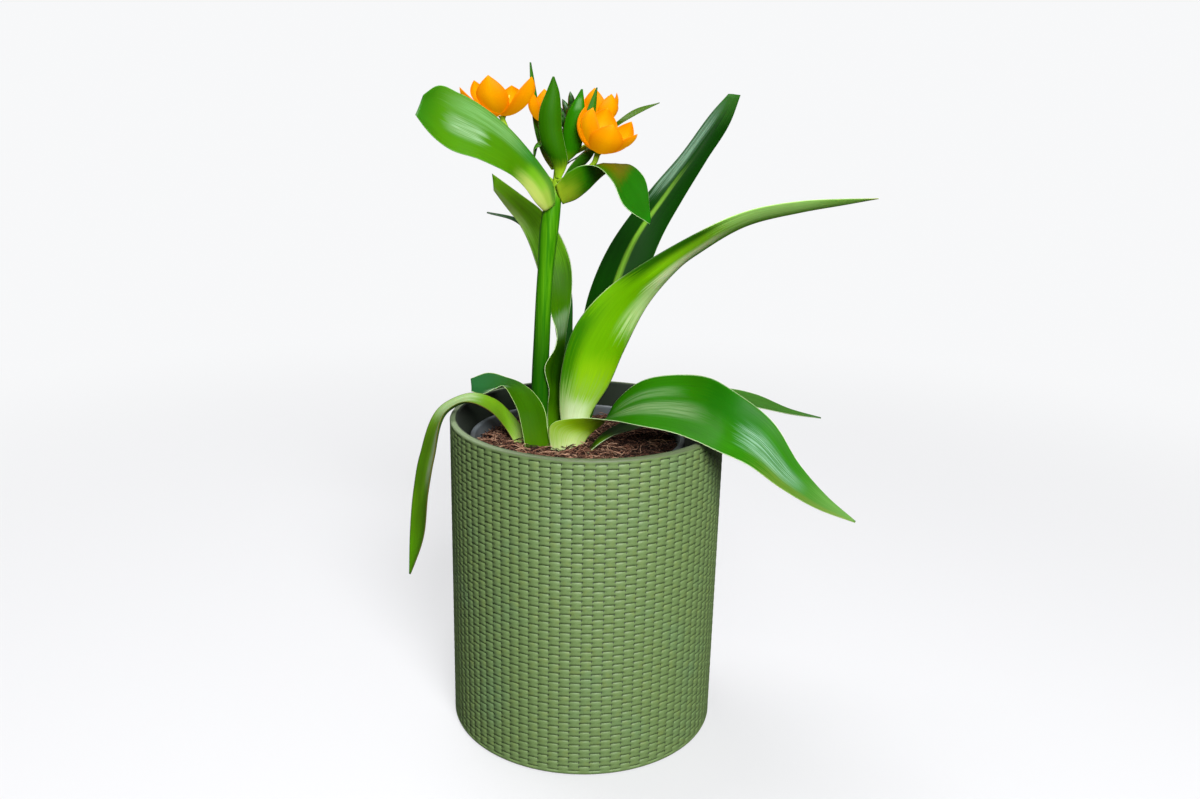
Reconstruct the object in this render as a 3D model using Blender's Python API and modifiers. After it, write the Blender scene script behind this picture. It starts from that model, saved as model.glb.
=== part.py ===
# Potted star of bethlehem: a woven-look planter that holds a nursery pot, soil, a bulb and the flowering plant.
# Sizes below are in millimetres and become metres in the scene. +Z is up, +X is the plant's right, and
# the origin is under the middle of the planter, on the surface that it stands on.
import math
import random

import bmesh
import bpy
import numpy as np
from mathutils import Vector

MM = 0.001
GAP = 0.3                      # clearance between pieces that touch

# Planter: nearly straight wall, flat rim, woven relief of offset tiles
PLANTER_RADIUS = 74.0
PLANTER_BASE_RADIUS = 73.6
PLANTER_HEIGHT = 174.0
PLANTER_WALL = 4.0
PLANTER_DRAFT = 1.0            # the inside is this much narrower at the floor
PLANTER_FLOOR = 5.0
WEAVE_COLUMNS = 50             # even, because neighbouring columns of tiles are half a tile apart
WEAVE_ROWS = 19
WEAVE_DEPTH = 0.9              # the seams between the tiles lie this far in
PLAIN_BAND = 3.0               # above and below the weave
BAND_STEP = 0.7                # height over which a band runs in to the seams' depth

# Nursery pot: a deep thin plastic pot that stands a little off the middle
NURSERY_X = -5.0
NURSERY_TOP = 163.5
NURSERY_RADIUS = 58.5
NURSERY_BASE_RADIUS = 46.0
NURSERY_WALL = 1.4
NURSERY_LIP = 2.4
NURSERY_LIP_HEIGHT = 7.0
NURSERY_LIP_FLARE = 0.8
NURSERY_SHOULDER = 0.5
NURSERY_EDGE = 1.0
NURSERY_SEGMENTS = 36
DRAIN_HOLES = 4
DRAIN_RADIUS = 5.0
DRAIN_DEPTH = 6.0
DRAIN_SIDES = 8
DRAIN_CIRCLE = 30.0

# Soil and bulb
SOIL_TOP = 156.5
SOIL_RINGS = 4
SOIL_SEGMENTS = 28
SOIL_SIDE_GAP = 0.9            # to the nursery pot's faceted wall
SOIL_SHOULDER = 6.0
SOIL_ROUNDING = 0.4
SOIL_WAVES = [                 # height, rates along x and y, and shifts of the lumps on its surface
    (0.8, 0.31, 0.27, 0.8, 1.6),
    (0.5, 0.53, 0.71, 0.0, 0.0),
    (0.3, 1.13, 0.97, 2.0, 1.9),
]
BULB_X = -14.0
BULB_Y = 12.0
BULB_MIDDLE = 126.0
BULB_RADIUS = 20.0
BULB_HALF_HEIGHT = 21.0
BULB_STEPS = 10
BULB_SEGMENTS = 20
FOOT_Z = 134.0                 # leaf feet and stem run down to here and are trimmed by the bulb
FOOT_DRAW_IN = 0.72            # how far the feet close in on the bulb's axis, as a share of their spread
SLOT_RISE = 9.0                # a leaf's slot is cut to this far above the soil's top
STEM_HOLE_RISE = 4.0

# Blades
LEAF_THICKNESS = 1.0
BRACT_THICKNESS = 0.9
TEPAL_THICKNESS = 0.8

# Flower stem: middle points and radii, from the bulb to the foot of the bud cluster
STEM = [
    (-25, 13, 150, 4.6),
    (-26.5, 12, 182, 4.6),
    (-25.5, 11, 215, 4.4),
    (-24, 10, 248, 4.2),
    (-20.5, 10, 284, 4.4),
    (-19.4, 10, 290, 3.6),
    (-18.6, 10, 296, 2.2),
    (-17.8, 10, 304, 2.0),
    (-17.2, 10.5, 314, 1.9),
]
PEDICEL_RADIUS = 1.1
PEDICEL_ROWS = 6
SHAFT_ROWS = 18

# Leaves: the middle of the blade and the half-width vector to its first margin, from the soil to the tip,
# with how deep the channel is as a share of the half width (its sign says which face is hollow)
LEAVES = {
    "leaf_left_drooping": (-0.25, [
        (-36, 9, 154, 1.9, -3.0, -1.3),
        (-43, 7, 169, -0.9, -5.0, -3.0),
        (-52, 3, 178, -0.6, -7.0, -1.4),
        (-65, -1, 183, 0.0, -9.0, 0.1),
        (-76, -6, 179, 2.3, -10.0, 1.1),
        (-86, -12, 152, 5.4, -10.0, 2.8),
        (-89, -15, 134, 5.4, -9.0, 2.7),
        (-92, -15, 107, 4.8, -7.0, 1.7),
        (-96, -16, 85, 0.5, -0.6, 0.2),
    ]),
    "leaf_left_arching": (-0.2, [
        (-26, 2, 152, -6.6, 0.0, 0.1),
        (-28, 1, 165, -7.1, 0.0, 0.7),
        (-30, 1, 175, -7.3, 0.0, -0.5),
        (-34, 3, 182, -6.7, -1.0, -0.7),
        (-41, 11, 187, -5.2, -3.0, 0.1),
        (-49, 20, 185.5, -2.9, -8.0, -1.3),
        (-59, 24, 184, -0.6, -10.0, -3.5),
        (-66, 24, 183, 0.9, -6.0, -2.0),
    ]),
    "leaf_right_tall": (0.3, [
        (-6, 12, 152, -6.2, 0.0, 0.1),
        (-7, 12, 170, -8.3, -0.5, 0.8),
        (-2, 10, 190, -13.2, -2.0, 2.5),
        (5, 9, 213, -14.2, -3.0, 5.4),
        (20, 9, 238, -12.2, -5.0, 3.9),
        (38, 10, 255, -9.8, -8.0, 2.6),
        (55, 12, 266, -3.6, -10.0, 4.0),
        (81, 13, 280, -1.3, -9.0, 2.6),
        (110, 14, 287, -1.1, -6.0, 0.3),
        (133, 15, 290, -0.7, -3.0, 0.3),
        (151, 16, 292, -0.1, -0.6, 0.0),
    ]),
    "leaf_right_drooping": (0.22, [
        (-10, 2, 154, -4.9, -2.0, 0.9),
        (-7, 0, 165, -10.0, -6.0, 4.8),
        (3, -2, 171, -6.4, -10.0, 4.1),
        (13, -6, 178, -1.4, -12.0, -0.9),
        (28, -15, 186, -0.6, -13.0, -8.5),
        (48, -24, 189, -3.5, -13.5, -11.9),
        (59, -33, 189, -4.3, -13.0, -13.0),
        (70, -43, 186, -5.0, -13.0, -11.8),
        (87, -50, 177, -7.1, -11.5, -7.9),
        (102, -56, 162, -5.5, -8.0, -3.8),
        (117, -62, 151, -3.4, -4.5, -1.7),
        (134, -65, 142, -0.3, -0.6, -0.2),
    ]),
    "leaf_right_low": (0.25, [
        (2, 4, 151, -1.4, -3.2, 0.2),
        (11, 7, 161, 0.6, -5.0, -0.4),
        (28, 13, 167, 1.5, -7.0, -1.0),
        (52, 20, 177, 1.9, -8.0, -1.4),
        (76, 26, 180, 0.6, -7.0, -2.0),
        (97, 32, 175, 0.9, -6.0, -2.5),
        (117, 36, 168, 0.2, -3.0, -0.9),
        (135, 38, 164, -0.1, -0.6, -0.2),
    ]),
    "leaf_back_right": (0.35, [
        (-6, 26, 151, -4.6, 0.0, 0.5),
        (-1, 28, 180, -7.9, 0.0, 0.4),
        (6, 32, 207, -11.6, 1.5, 0.8),
        (14, 38, 236, -14.5, 2.0, -1.3),
        (25, 46, 263, -13.7, 2.0, -1.4),
        (41, 51, 288, -9.3, 1.0, 2.2),
        (56, 55, 309, -7.0, 1.0, 1.7),
        (71, 58, 332, -5.3, 0.5, 2.0),
        (77, 58, 343, -3.3, 0.5, 0.2),
    ]),
    "leaf_back_left": (-0.15, [
        (-17, 18, 153, -2.2, -0.5, 0.4),
        (-17, 17, 173, -3.0, -3.0, 2.3),
        (-18, 14, 182, -2.6, -5.0, 2.8),
        (-18.9, 12, 194, -4.7, -7.0, 4.5),
        (-15.8, 16, 208, -2.4, -7.2, 1.2),
        (-15, 24, 217, -2.7, -8.0, -1.4),
        (-16, 32, 225, -5.0, -6.0, -2.6),
        (-20, 40, 247, -8.5, -2.0, -3.8),
        (-34, 47, 274, -6.3, -1.0, -3.9),
        (-45, 50, 284, -4.5, 0.0, -3.1),
        (-56, 53, 293, 0.4, 0.0, -4.7),
    ]),
    "leaf_back_far": (0.2, [
        (-13, 31, 149, -2.3, -1.0, 0.6),
        (-12, 37, 184, -3.4, -1.0, 0.2),
        (-14, 42, 206, -4.2, -2.0, -2.6),
        (-18, 49, 235, -6.1, -3.0, -1.0),
        (-27, 55, 258, -4.5, -5.0, -2.3),
        (-42, 58, 270, -0.2, -8.0, -0.2),
        (-60, 59, 275, 0.0, -2.0, 0.1),
    ]),
}
LEAF_ROWS = 17
LEAF_COLUMNS = 4

# Bracts: the leaves of the flower head, in the same form, and then the slim ones
BRACTS = {
    "bract_left": (-0.15, [
        (-24.3, 7.5, 289, 1.5, -3.0, -4.2),
        (-28, 4, 294, 0.5, -4.0, -8.0),
        (-34, 1, 303, -1.0, -7.0, -7.8),
        (-41, -1, 312, -1.5, -9.0, -8.7),
        (-53, -3, 320, -2.4, -11.0, -10.6),
        (-70, -4, 328, -1.8, -12.0, -12.8),
        (-81, -6, 334, -1.1, -10.0, -9.7),
        (-86, -7, 335, -1.3, -5.0, -4.7),
    ]),
    "bract_right": (0.2, [
        (-16.9, 8.1, 291, -1.8, -2.2, 5.0),
        (-10, 5, 296, -2.0, -6.0, 7.3),
        (-4, 3, 300, -1.5, -8.0, 7.0),
        (5, 0, 304, -1.3, -10.0, 2.4),
        (13, -4, 304, -2.8, -10.0, -3.5),
        (21, -10, 296, -5.0, -8.0, -6.6),
        (30, -15, 281, -0.3, -1.2, -1.2),
    ]),
    "bract_front": (0.45, [
        (-17.6, 7.0, 302, -2.6, 0.5, -0.1),
        (-19, 4, 312, -6.4, 0.0, 1.4),
        (-21, 3, 325, -6.6, -0.5, 0.9),
        (-21, 3, 335, -5.0, -0.5, -0.3),
        (-20, 5, 349, -0.5, 0.0, 0.0),
    ]),
    "bract_front_right": (0.4, [
        (-15.2, 8.6, 306.5, -1.1, -1.4, -0.3),
        (-11, 6.5, 314, -4.4, 0.0, 0.0),
        (-10, 6, 323, -5.1, 0.0, 0.0),
        (-9, 6.5, 332, -4.6, 0.0, -1.0),
        (-6, 9, 344, -0.5, 0.0, 0.0),
    ]),
}
BRACT_ROWS = 10
BRACT_COLUMNS = 4
SLIM_BRACTS = {
    "bract_thin_left": (0.2, [
        (-19.9, 12.5, 303.5, -1.3, -1.2, 0.0),
        (-24, 19, 309, -1.7, -1.2, 0.2),
        (-29, 28, 321, -1.8, -1.2, 0.4),
        (-32, 34, 340, -1.6, -1.4, 0.0),
        (-34, 35, 357, -0.4, -0.4, 0.0),
    ]),
    "bract_thin_low": (0.2, [
        (-19.9, 8.8, 309, 1.0, -1.6, 0.0),
        (-24, 9, 317, 0.4, -3.0, -1.0),
        (-28, 8.5, 316, -0.8, -3.2, -1.5),
        (-30, 8, 309, -0.2, -0.8, 0.1),
    ]),
    "bract_thin_right": (0.25, [
        (-15.1, 10.8, 305.5, -0.6, 1.4, 0.4),
        (-7, 13, 311, -0.8, -2.0, -0.6),
        (3, 18, 319, -0.5, -2.6, -1.5),
        (11, 24, 325.5, -0.5, -3.0, -1.7),
        (22, 31, 332, 0.5, -3.0, -2.2),
        (35, 38, 338, 0.0, -0.6, -0.1),
    ]),
    "bract_small_right": (0.25, [
        (-14.3, 10.2, 311.5, -0.2, -1.4, 0.3),
        (-7, 11, 319, -1.6, -1.6, 0.4),
        (-2, 12, 331, -1.9, -1.0, 0.2),
        (1.5, 13, 345, -0.4, -0.2, 0.0),
    ]),
    "bract_short_right": (0.3, [
        (-15.4, 11.3, 298.5, -0.2, -1.3, 0.5),
        (-9, 10.5, 305, -2.0, -3.0, 1.4),
        (-3, 9.5, 311, -2.0, -3.0, 1.4),
        (1.5, 9, 315, -0.4, -0.5, 0.4),
    ]),
}
SLIM_BRACT_ROWS = 7
SLIM_BRACT_COLUMNS = 2

# Flowers: foot of the cup, direction that it opens to, spread and height of the cup, and the pedicel's
# points between the stem and the cup
FLOWERS = {
    "flower_left": {
        "foot": (-48, 26, 330), "axis": (-0.08, -0.03, 1.0), "spread": 17.0, "height": 18.0, "turn": 12,
        "pedicel": [(-17.6, 10.2, 306), (-28, 15, 312), (-41, 23, 320), (-47, 26, 326)],
    },
    "flower_back_left": {
        "foot": (-26, 25, 327), "axis": (-0.05, 0.1, 1.0), "spread": 7.5, "height": 17.0, "turn": 40,
        "pedicel": [(-17.5, 10.5, 308), (-20, 17, 312), (-25, 24, 320), (-26, 25, 323)],
    },
    "flower_right": {
        "foot": (3, 0, 314), "axis": (0.30, -0.12, 1.0), "spread": 13.5, "height": 21.0, "turn": 25,
        "pedicel": [(-18, 9.2, 298), (-12, 5.5, 299.5), (-5, 2.5, 303), (1.5, 0.6, 309)],
    },
    "flower_back_right": {
        "foot": (3, 27, 327), "axis": (0.05, 0.08, 1.0), "spread": 9.5, "height": 17.0, "turn": 5,
        "pedicel": [(-17.3, 10.8, 310), (-8, 19, 313), (1, 26, 319), (3, 27, 323)],
    },
}
TEPALS = 6
ROOT_HEIGHT = 0.9              # the outer tepals' roots above the foot of the cup
TEPAL_LIFT = 1.7               # the inner tepals above the outer ones
INNER_REACH = 0.86             # the inner tepals' spread as a share of the outer ones'
BOWL_START = 0.12              # a tepal's lengthwise curve, in radians of a circle
BOWL_TURN = 1.38
TEPAL_WIDTH_SHARE = 0.36       # half width at its widest, as a share of the spread, and its constant part
TEPAL_WIDTH_REST = 0.8
TEPAL_OUTLINE = (0.04, 0.93)   # start and length of the half sine that gives its width
TEPAL_FULLNESS = 0.8
TEPAL_LEAST_HALF = 0.5
TEPAL_ROWS = 4
TEPAL_COLUMNS = 2
TEPAL_CUPPING = 0.24
RECEPTACLE_RADIUS = 2.2
RECEPTACLE_HEIGHT = 2.5
DISC_RADIUS = 2.6
DISC_HEIGHT = 3.0
OVARY_SHARE = 0.1              # radius as a share of the cup's spread, and its constant part
OVARY_REST = 0.8
OVARY_HEIGHT = 6.5
OVARY_OUTLINE = [(0.0, 0.7), (0.35, 1.0), (0.75, 0.8)]   # shares of its height and radius
STYLE_OUTLINE = [(1.0, 0.7), (1.35, 0.6)]                # share of the ovary's height, and radius

# Bud cluster at the tip of the raceme
BUD_COUNT = 11
BUD_RADIUS = 2.2
BUD_LENGTH = 4.6               # from its middle to either end
BUD_OUTLINE = [(-1.0, 0.36), (-0.3, 1.0), (0.3, 0.85), (1.0, 0.18)]   # shares of its length and radius
BUD_TURN = math.radians(137.5)
BUD_FIRST_TURN = 0.6
BUD_LEAN = math.radians(55)    # of the lowest bud; the top one leans BUD_LEAN_DROP less
BUD_LEAN_DROP = math.radians(45)
BUD_START = 0.25               # share of the core below the first bud
BUD_SEAT = 0.85                # share of a bud's length between the core and its middle
BUD_SPREAD = 0.8
BUD_SEED = 7
CORE_OUTLINE = [(0.0, 1.8), (0.12, 2.2), (1.0, 1.0)]     # share of its length, and radius
CLUSTER_FOOT = (-17.2, 10.5, 314.0 + GAP)
CLUSTER_TIP = (-13.5, 15.5, 338.0)


def clear_scene():
    for old in list(bpy.data.objects):
        bpy.data.objects.remove(old, do_unlink=True)


def new_collection(name):
    collection = bpy.data.collections.new(name)
    bpy.context.scene.collection.children.link(collection)
    return collection


def make_material(name, colour, roughness):
    material = bpy.data.materials.new(name)
    material.use_nodes = True
    shader = material.node_tree.nodes["Principled BSDF"]
    shader.inputs["Base Color"].default_value = (*colour, 1.0)
    shader.inputs["Roughness"].default_value = roughness
    shader.inputs["Metallic"].default_value = 0.0
    return material


def add_object(name, mesh, collection, material=None):
    obj = bpy.data.objects.new(name, mesh)
    collection.objects.link(obj)
    if material is not None:
        mesh.materials.clear()
        mesh.materials.append(material)
    return obj


def as_cutter(obj):
    obj.hide_render = True
    obj.display_type = "WIRE"
    return obj


def frozen(obj, collection):
    """Replace an object by the plain mesh that its curve or modifiers give, with loose caps welded."""
    graph = bpy.context.evaluated_depsgraph_get()
    mesh = bpy.data.meshes.new_from_object(obj.evaluated_get(graph))
    shape = bmesh.new()
    shape.from_mesh(mesh)
    bmesh.ops.remove_doubles(shape, verts=shape.verts, dist=1e-6)
    shape.to_mesh(mesh)
    shape.free()
    solid = bpy.data.objects.new(obj.name + "_solid", mesh)
    solid.matrix_world = obj.matrix_world.copy()
    collection.objects.link(solid)
    name = obj.name
    bpy.data.objects.remove(obj, do_unlink=True)
    solid.name = name
    return solid


def subtract(obj, cutter):
    cut = obj.modifiers.new("cut_" + cutter.name, "BOOLEAN")
    cut.operation = "DIFFERENCE"
    cut.solver = "EXACT"
    cut.object = cutter


def keep_main_shell(mesh):
    """Drop loose scraps and fill sealed hollows: only the shell with the most vertices stays."""
    shape = bmesh.new()
    shape.from_mesh(mesh)
    left = set(shape.verts)
    shells = []
    while left:
        seed = left.pop()
        shell, edge = {seed}, [seed]
        while edge:
            vertex = edge.pop()
            for link in vertex.link_edges:
                other = link.other_vert(vertex)
                if other in left:
                    left.discard(other)
                    shell.add(other)
                    edge.append(other)
        shells.append(shell)
    main = max(shells, key=len)
    spare = [vertex for shell in shells if shell is not main for vertex in shell]
    bmesh.ops.delete(shape, geom=spare, context="VERTS")
    shape.to_mesh(mesh)
    shape.free()


def united(name, pieces, collection, material):
    """One closed body from several that overlap each other."""
    group = bpy.data.collections.new(name + "_pieces")
    for piece in pieces[1:]:
        for home in list(piece.users_collection):
            home.objects.unlink(piece)
        group.objects.link(piece)
    join = pieces[0].modifiers.new("union", "BOOLEAN")
    join.operation = "UNION"
    join.solver = "EXACT"
    join.operand_type = "COLLECTION"
    join.collection = group
    bpy.context.view_layer.update()
    graph = bpy.context.evaluated_depsgraph_get()
    mesh = bpy.data.meshes.new_from_object(pieces[0].evaluated_get(graph))
    keep_main_shell(mesh)
    for piece in pieces:
        bpy.data.objects.remove(piece, do_unlink=True)
    bpy.data.collections.remove(group)
    return add_object(name, mesh, collection, material)


def turned(name, profile, segments, collection, centre=(0.0, 0.0)):
    """A solid of revolution from (radius, height) points that run down its outer side."""
    mesh = bpy.data.meshes.new(name)
    points = [(radius * MM, 0.0, height * MM) for radius, height in profile]
    edges = [(index, index + 1) for index in range(len(points) - 1)]
    mesh.from_pydata(points, edges, [])
    obj = add_object(name, mesh, collection)
    screw = obj.modifiers.new("turn", "SCREW")
    screw.axis = "Z"
    screw.steps = segments
    screw.render_steps = segments
    screw.use_merge_vertices = True
    screw.merge_threshold = 0.00001
    solid = frozen(obj, collection)
    solid.location = (centre[0] * MM, centre[1] * MM, 0.0)
    return solid


def tube(name, points, collection, roundness=2):
    """A round bar through (x, y, z, radius) points; roundness 1 has six sides and 2 has eight."""
    curve = bpy.data.curves.new(name, "CURVE")
    curve.dimensions = "3D"
    curve.bevel_depth = 1.0
    curve.bevel_resolution = roundness
    curve.use_fill_caps = True
    spline = curve.splines.new("POLY")
    spline.points.add(len(points) - 1)
    for target, (x, y, z, radius) in zip(spline.points, points):
        target.co = (x * MM, y * MM, z * MM, 1.0)
        target.radius = radius * MM
    obj = bpy.data.objects.new(name, curve)
    collection.objects.link(obj)
    return frozen(obj, collection)


def smooth_path(points, count):
    """Evenly spaced rows on a smooth curve through rows of numbers; the first three are its place."""
    rows = np.array(points, dtype=float)
    steps = np.linalg.norm(np.diff(rows[:, :3], axis=0), axis=1)
    at = np.concatenate([[0.0], np.cumsum(steps)])
    slopes = np.diff(rows, axis=0) / steps[:, None]
    tangents = np.empty_like(rows)
    tangents[0] = slopes[0]
    tangents[-1] = slopes[-1]
    before, after = steps[:-1, None], steps[1:, None]
    tangents[1:-1] = (slopes[:-1] * after + slopes[1:] * before) / (before + after)
    result = []
    for where in np.linspace(0.0, at[-1], count):
        index = min(int(np.searchsorted(at, where, side="right")) - 1, len(steps) - 1)
        span = steps[index]
        t = (where - at[index]) / span
        start, end = rows[index], rows[index + 1]
        out, into = tangents[index] * span, tangents[index + 1] * span
        result.append(start * (2 * t**3 - 3 * t**2 + 1) + out * (t**3 - 2 * t**2 + t)
                      + end * (3 * t**2 - 2 * t**3) + into * (t**3 - t**2))
    return np.array(result)


def blade_mesh(name, rows, columns, channel, kept=None):
    """An open sheet of triangles over rows of middle points and half-width vectors, or over the first few."""
    middles, halves = rows[:, :3], rows[:, 3:6]
    along = np.gradient(middles, axis=0)
    hollow = np.cross(along, halves)
    hollow /= np.linalg.norm(hollow, axis=1)[:, None]
    depth = channel * np.linalg.norm(halves, axis=1)
    sheet = bmesh.new()
    grid = []
    for middle, half, down, sag in list(zip(middles, halves, hollow, depth))[:kept]:
        line = []
        for across in np.linspace(-1.0, 1.0, columns + 1):
            place = middle + across * half + (1.0 - across**2) * sag * down
            line.append(sheet.verts.new(Vector(place) * MM))
        grid.append(line)
    for row in range(len(grid) - 1):
        for column in range(columns):
            a, b = grid[row][column], grid[row][column + 1]
            c, d = grid[row + 1][column + 1], grid[row + 1][column]
            if column < columns / 2:
                sheet.faces.new((a, b, c))
                sheet.faces.new((a, c, d))
            else:
                sheet.faces.new((a, b, d))
                sheet.faces.new((b, c, d))
    mesh = bpy.data.meshes.new(name)
    sheet.to_mesh(mesh)
    sheet.free()
    return mesh


def blade(name, rows, columns, channel, thickness, collection, material=None, kept=None):
    mesh = blade_mesh(name, rows, columns, channel, kept)
    obj = add_object(name, mesh, collection, material)
    wall = obj.modifiers.new("thickness", "SOLIDIFY")
    wall.thickness = thickness * MM
    wall.offset = 0.0
    return obj


def with_foot(stations):
    """The stations with one more below them, where the foot closes in on the bulb."""
    x, y, _, *half = stations[0]
    foot_x = BULB_X + (x - BULB_X) * FOOT_DRAW_IN
    foot_y = BULB_Y + (y - BULB_Y) * FOOT_DRAW_IN
    return [(foot_x, foot_y, FOOT_Z, *[part * FOOT_DRAW_IN for part in half])] + list(stations)


def planter(parts, materials):
    """Shell with a floor; its outer wall is a weave of tiles, each a low pyramid between sunken seams."""
    levels = WEAVE_ROWS * 2
    weave_height = PLANTER_HEIGHT - 2 * PLAIN_BAND
    heights = [PLAIN_BAND + weave_height * level / levels for level in range(levels + 1)]

    def wall_radius(height):
        return PLANTER_BASE_RADIUS + (PLANTER_RADIUS - PLANTER_BASE_RADIUS) * height / PLANTER_HEIGHT

    inner = PLANTER_RADIUS - PLANTER_WALL
    bands = [PLANTER_HEIGHT, PLANTER_HEIGHT - PLAIN_BAND + BAND_STEP, PLAIN_BAND - BAND_STEP, 0.0]
    profile = [(0.0, PLANTER_FLOOR), (inner - PLANTER_DRAFT, PLANTER_FLOOR), (inner, PLANTER_HEIGHT)]
    profile += [(wall_radius(height), height) for height in bands[:2]]
    profile += [(wall_radius(height) - WEAVE_DEPTH, height) for height in reversed(heights)]
    profile += [(wall_radius(height), height) for height in bands[2:]]
    profile += [(0.0, 0.0)]
    obj = turned("planter", profile, WEAVE_COLUMNS, parts)
    weave_tiles(obj.data, heights, wall_radius)
    obj.data.materials.append(materials["planter"])


def weave_tiles(mesh, heights, wall_radius):
    """Join the wall's faces in pairs, half a tile apart from column to column, and raise their middles."""
    shape = bmesh.new()
    shape.from_mesh(mesh)
    half_tile = heights[1] - heights[0]

    def level_of(vertex):
        """The vertex's level in the weave, or None where it is no part of the woven wall."""
        height = vertex.co.z / MM
        outside = math.hypot(vertex.co.x, vertex.co.y) / MM > PLANTER_BASE_RADIUS - PLANTER_WALL / 2
        inside_band = heights[0] - BAND_STEP / 2 < height < heights[-1] + BAND_STEP / 2
        return round((height - heights[0]) / half_tile) if outside and inside_band else None

    woven = [face for face in shape.faces if all(level_of(vertex) is not None for vertex in face.verts)]
    middles = []
    for edge in {edge for face in woven for edge in face.edges}:
        first, second = (level_of(vertex) for vertex in edge.verts)
        centre = (edge.verts[0].co + edge.verts[1].co) / 2
        column = math.floor(math.atan2(centre.y, centre.x) / (2 * math.pi) * WEAVE_COLUMNS)
        if first == second and 0 < first < len(heights) - 1 and (first + column) % 2 == 1:
            middles.append(edge)
    bmesh.ops.dissolve_edges(shape, edges=middles)
    tiles = [face for face in shape.faces if all(level_of(vertex) is not None for vertex in face.verts)]
    crowns = bmesh.ops.poke(shape, faces=tiles)["verts"]
    for crown in crowns:
        stretch = wall_radius(crown.co.z / MM) * MM / math.hypot(crown.co.x, crown.co.y)
        crown.co.x *= stretch
        crown.co.y *= stretch
    shape.to_mesh(mesh)
    shape.free()


def nursery_pot(parts, cutters, materials):
    """Thin tapered pot with a turned-out lip and drain holes, standing on the planter's floor."""
    bottom = PLANTER_FLOOR + GAP
    neck = NURSERY_TOP - NURSERY_LIP_HEIGHT
    body = NURSERY_RADIUS - NURSERY_LIP
    wall = NURSERY_WALL
    profile = [
        (0.0, bottom + wall),
        (NURSERY_BASE_RADIUS - wall, bottom + wall),
        (body - wall, neck),
        (body - wall + NURSERY_LIP_FLARE, NURSERY_TOP),
        (NURSERY_RADIUS, NURSERY_TOP),
        (NURSERY_RADIUS, neck),
        (body, neck - NURSERY_SHOULDER),
        (NURSERY_BASE_RADIUS, bottom + NURSERY_EDGE),
        (NURSERY_BASE_RADIUS - NURSERY_EDGE, bottom),
        (0.0, bottom),
    ]
    obj = turned("nursery_pot", profile, NURSERY_SEGMENTS, parts, (NURSERY_X, 0.0))
    for index in range(DRAIN_HOLES):
        angle = 2 * math.pi * (index + 0.5) / DRAIN_HOLES
        bpy.ops.mesh.primitive_cylinder_add(
            vertices=DRAIN_SIDES, radius=DRAIN_RADIUS * MM, depth=DRAIN_DEPTH * MM)
        drill = bpy.context.object
        drill.name = "drain_%d" % index
        x = NURSERY_X + DRAIN_CIRCLE * math.cos(angle)
        y = DRAIN_CIRCLE * math.sin(angle)
        drill.location = (x * MM, y * MM, bottom * MM)
        for home in list(drill.users_collection):
            home.objects.unlink(drill)
        cutters.objects.link(as_cutter(drill))
        subtract(obj, drill)
    obj.data.materials.append(materials["nursery_pot"])


def bulb_profile(grow):
    """Rounded outline of the bulb, grown all round, as (radius, height) points down its side."""
    points = []
    for index in range(BULB_STEPS + 1):
        angle = math.pi * index / BULB_STEPS
        radius = (BULB_RADIUS + grow) * math.sin(angle)
        height = BULB_MIDDLE + (BULB_HALF_HEIGHT + grow) * math.cos(angle)
        points.append((0.0 if index in (0, BULB_STEPS) else radius, height))
    return points


def bulb(parts, cutters, materials):
    """The bulb; what is given back is the room that its neighbours leave for it."""
    obj = turned("bulb", bulb_profile(0.0), BULB_SEGMENTS, parts, (BULB_X, BULB_Y))
    obj.data.materials.append(materials["bulb"])
    return as_cutter(turned("bulb_room", bulb_profile(GAP), BULB_SEGMENTS, cutters, (BULB_X, BULB_Y)))


def soil_surface(x, y):
    """Height of the loose surface, in millimetres, at a place in millimetres."""
    height = SOIL_TOP
    for lump, rate_x, rate_y, shift_x, shift_y in SOIL_WAVES:
        height += lump * math.sin(rate_x * x + shift_x) * math.sin(rate_y * y + shift_y)
    return height


def soil(parts, materials, room, feet):
    """Fills the nursery pot, with a pocket for the bulb and a plain slot for each foot."""
    bottom = PLANTER_FLOOR + GAP + NURSERY_WALL + GAP
    base = NURSERY_BASE_RADIUS - NURSERY_WALL
    top = NURSERY_RADIUS - NURSERY_LIP - NURSERY_WALL
    side = SOIL_SIDE_GAP
    edge = top - side - SOIL_ROUNDING
    profile = [(edge * ring / SOIL_RINGS, SOIL_TOP) for ring in range(SOIL_RINGS + 1)]
    profile += [(top - side, SOIL_TOP - SOIL_SHOULDER), (base - side, bottom), (0.0, bottom)]
    obj = turned("soil", profile, SOIL_SEGMENTS, parts, (NURSERY_X, 0.0))
    for vertex in obj.data.vertices:
        if vertex.co.z / MM > SOIL_TOP - SOIL_ROUNDING:
            vertex.co.z = soil_surface(vertex.co.x / MM, vertex.co.y / MM) * MM
    subtract(obj, room)
    for foot in feet:
        subtract(obj, as_cutter(foot))
    obj.data.materials.append(materials["soil"])


def shaft_path():
    foot_x = BULB_X + (STEM[0][0] - BULB_X) * FOOT_DRAW_IN
    foot_y = BULB_Y + (STEM[0][1] - BULB_Y) * FOOT_DRAW_IN
    return smooth_path([(foot_x, foot_y, FOOT_Z, STEM[0][3])] + STEM, SHAFT_ROWS)


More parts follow.
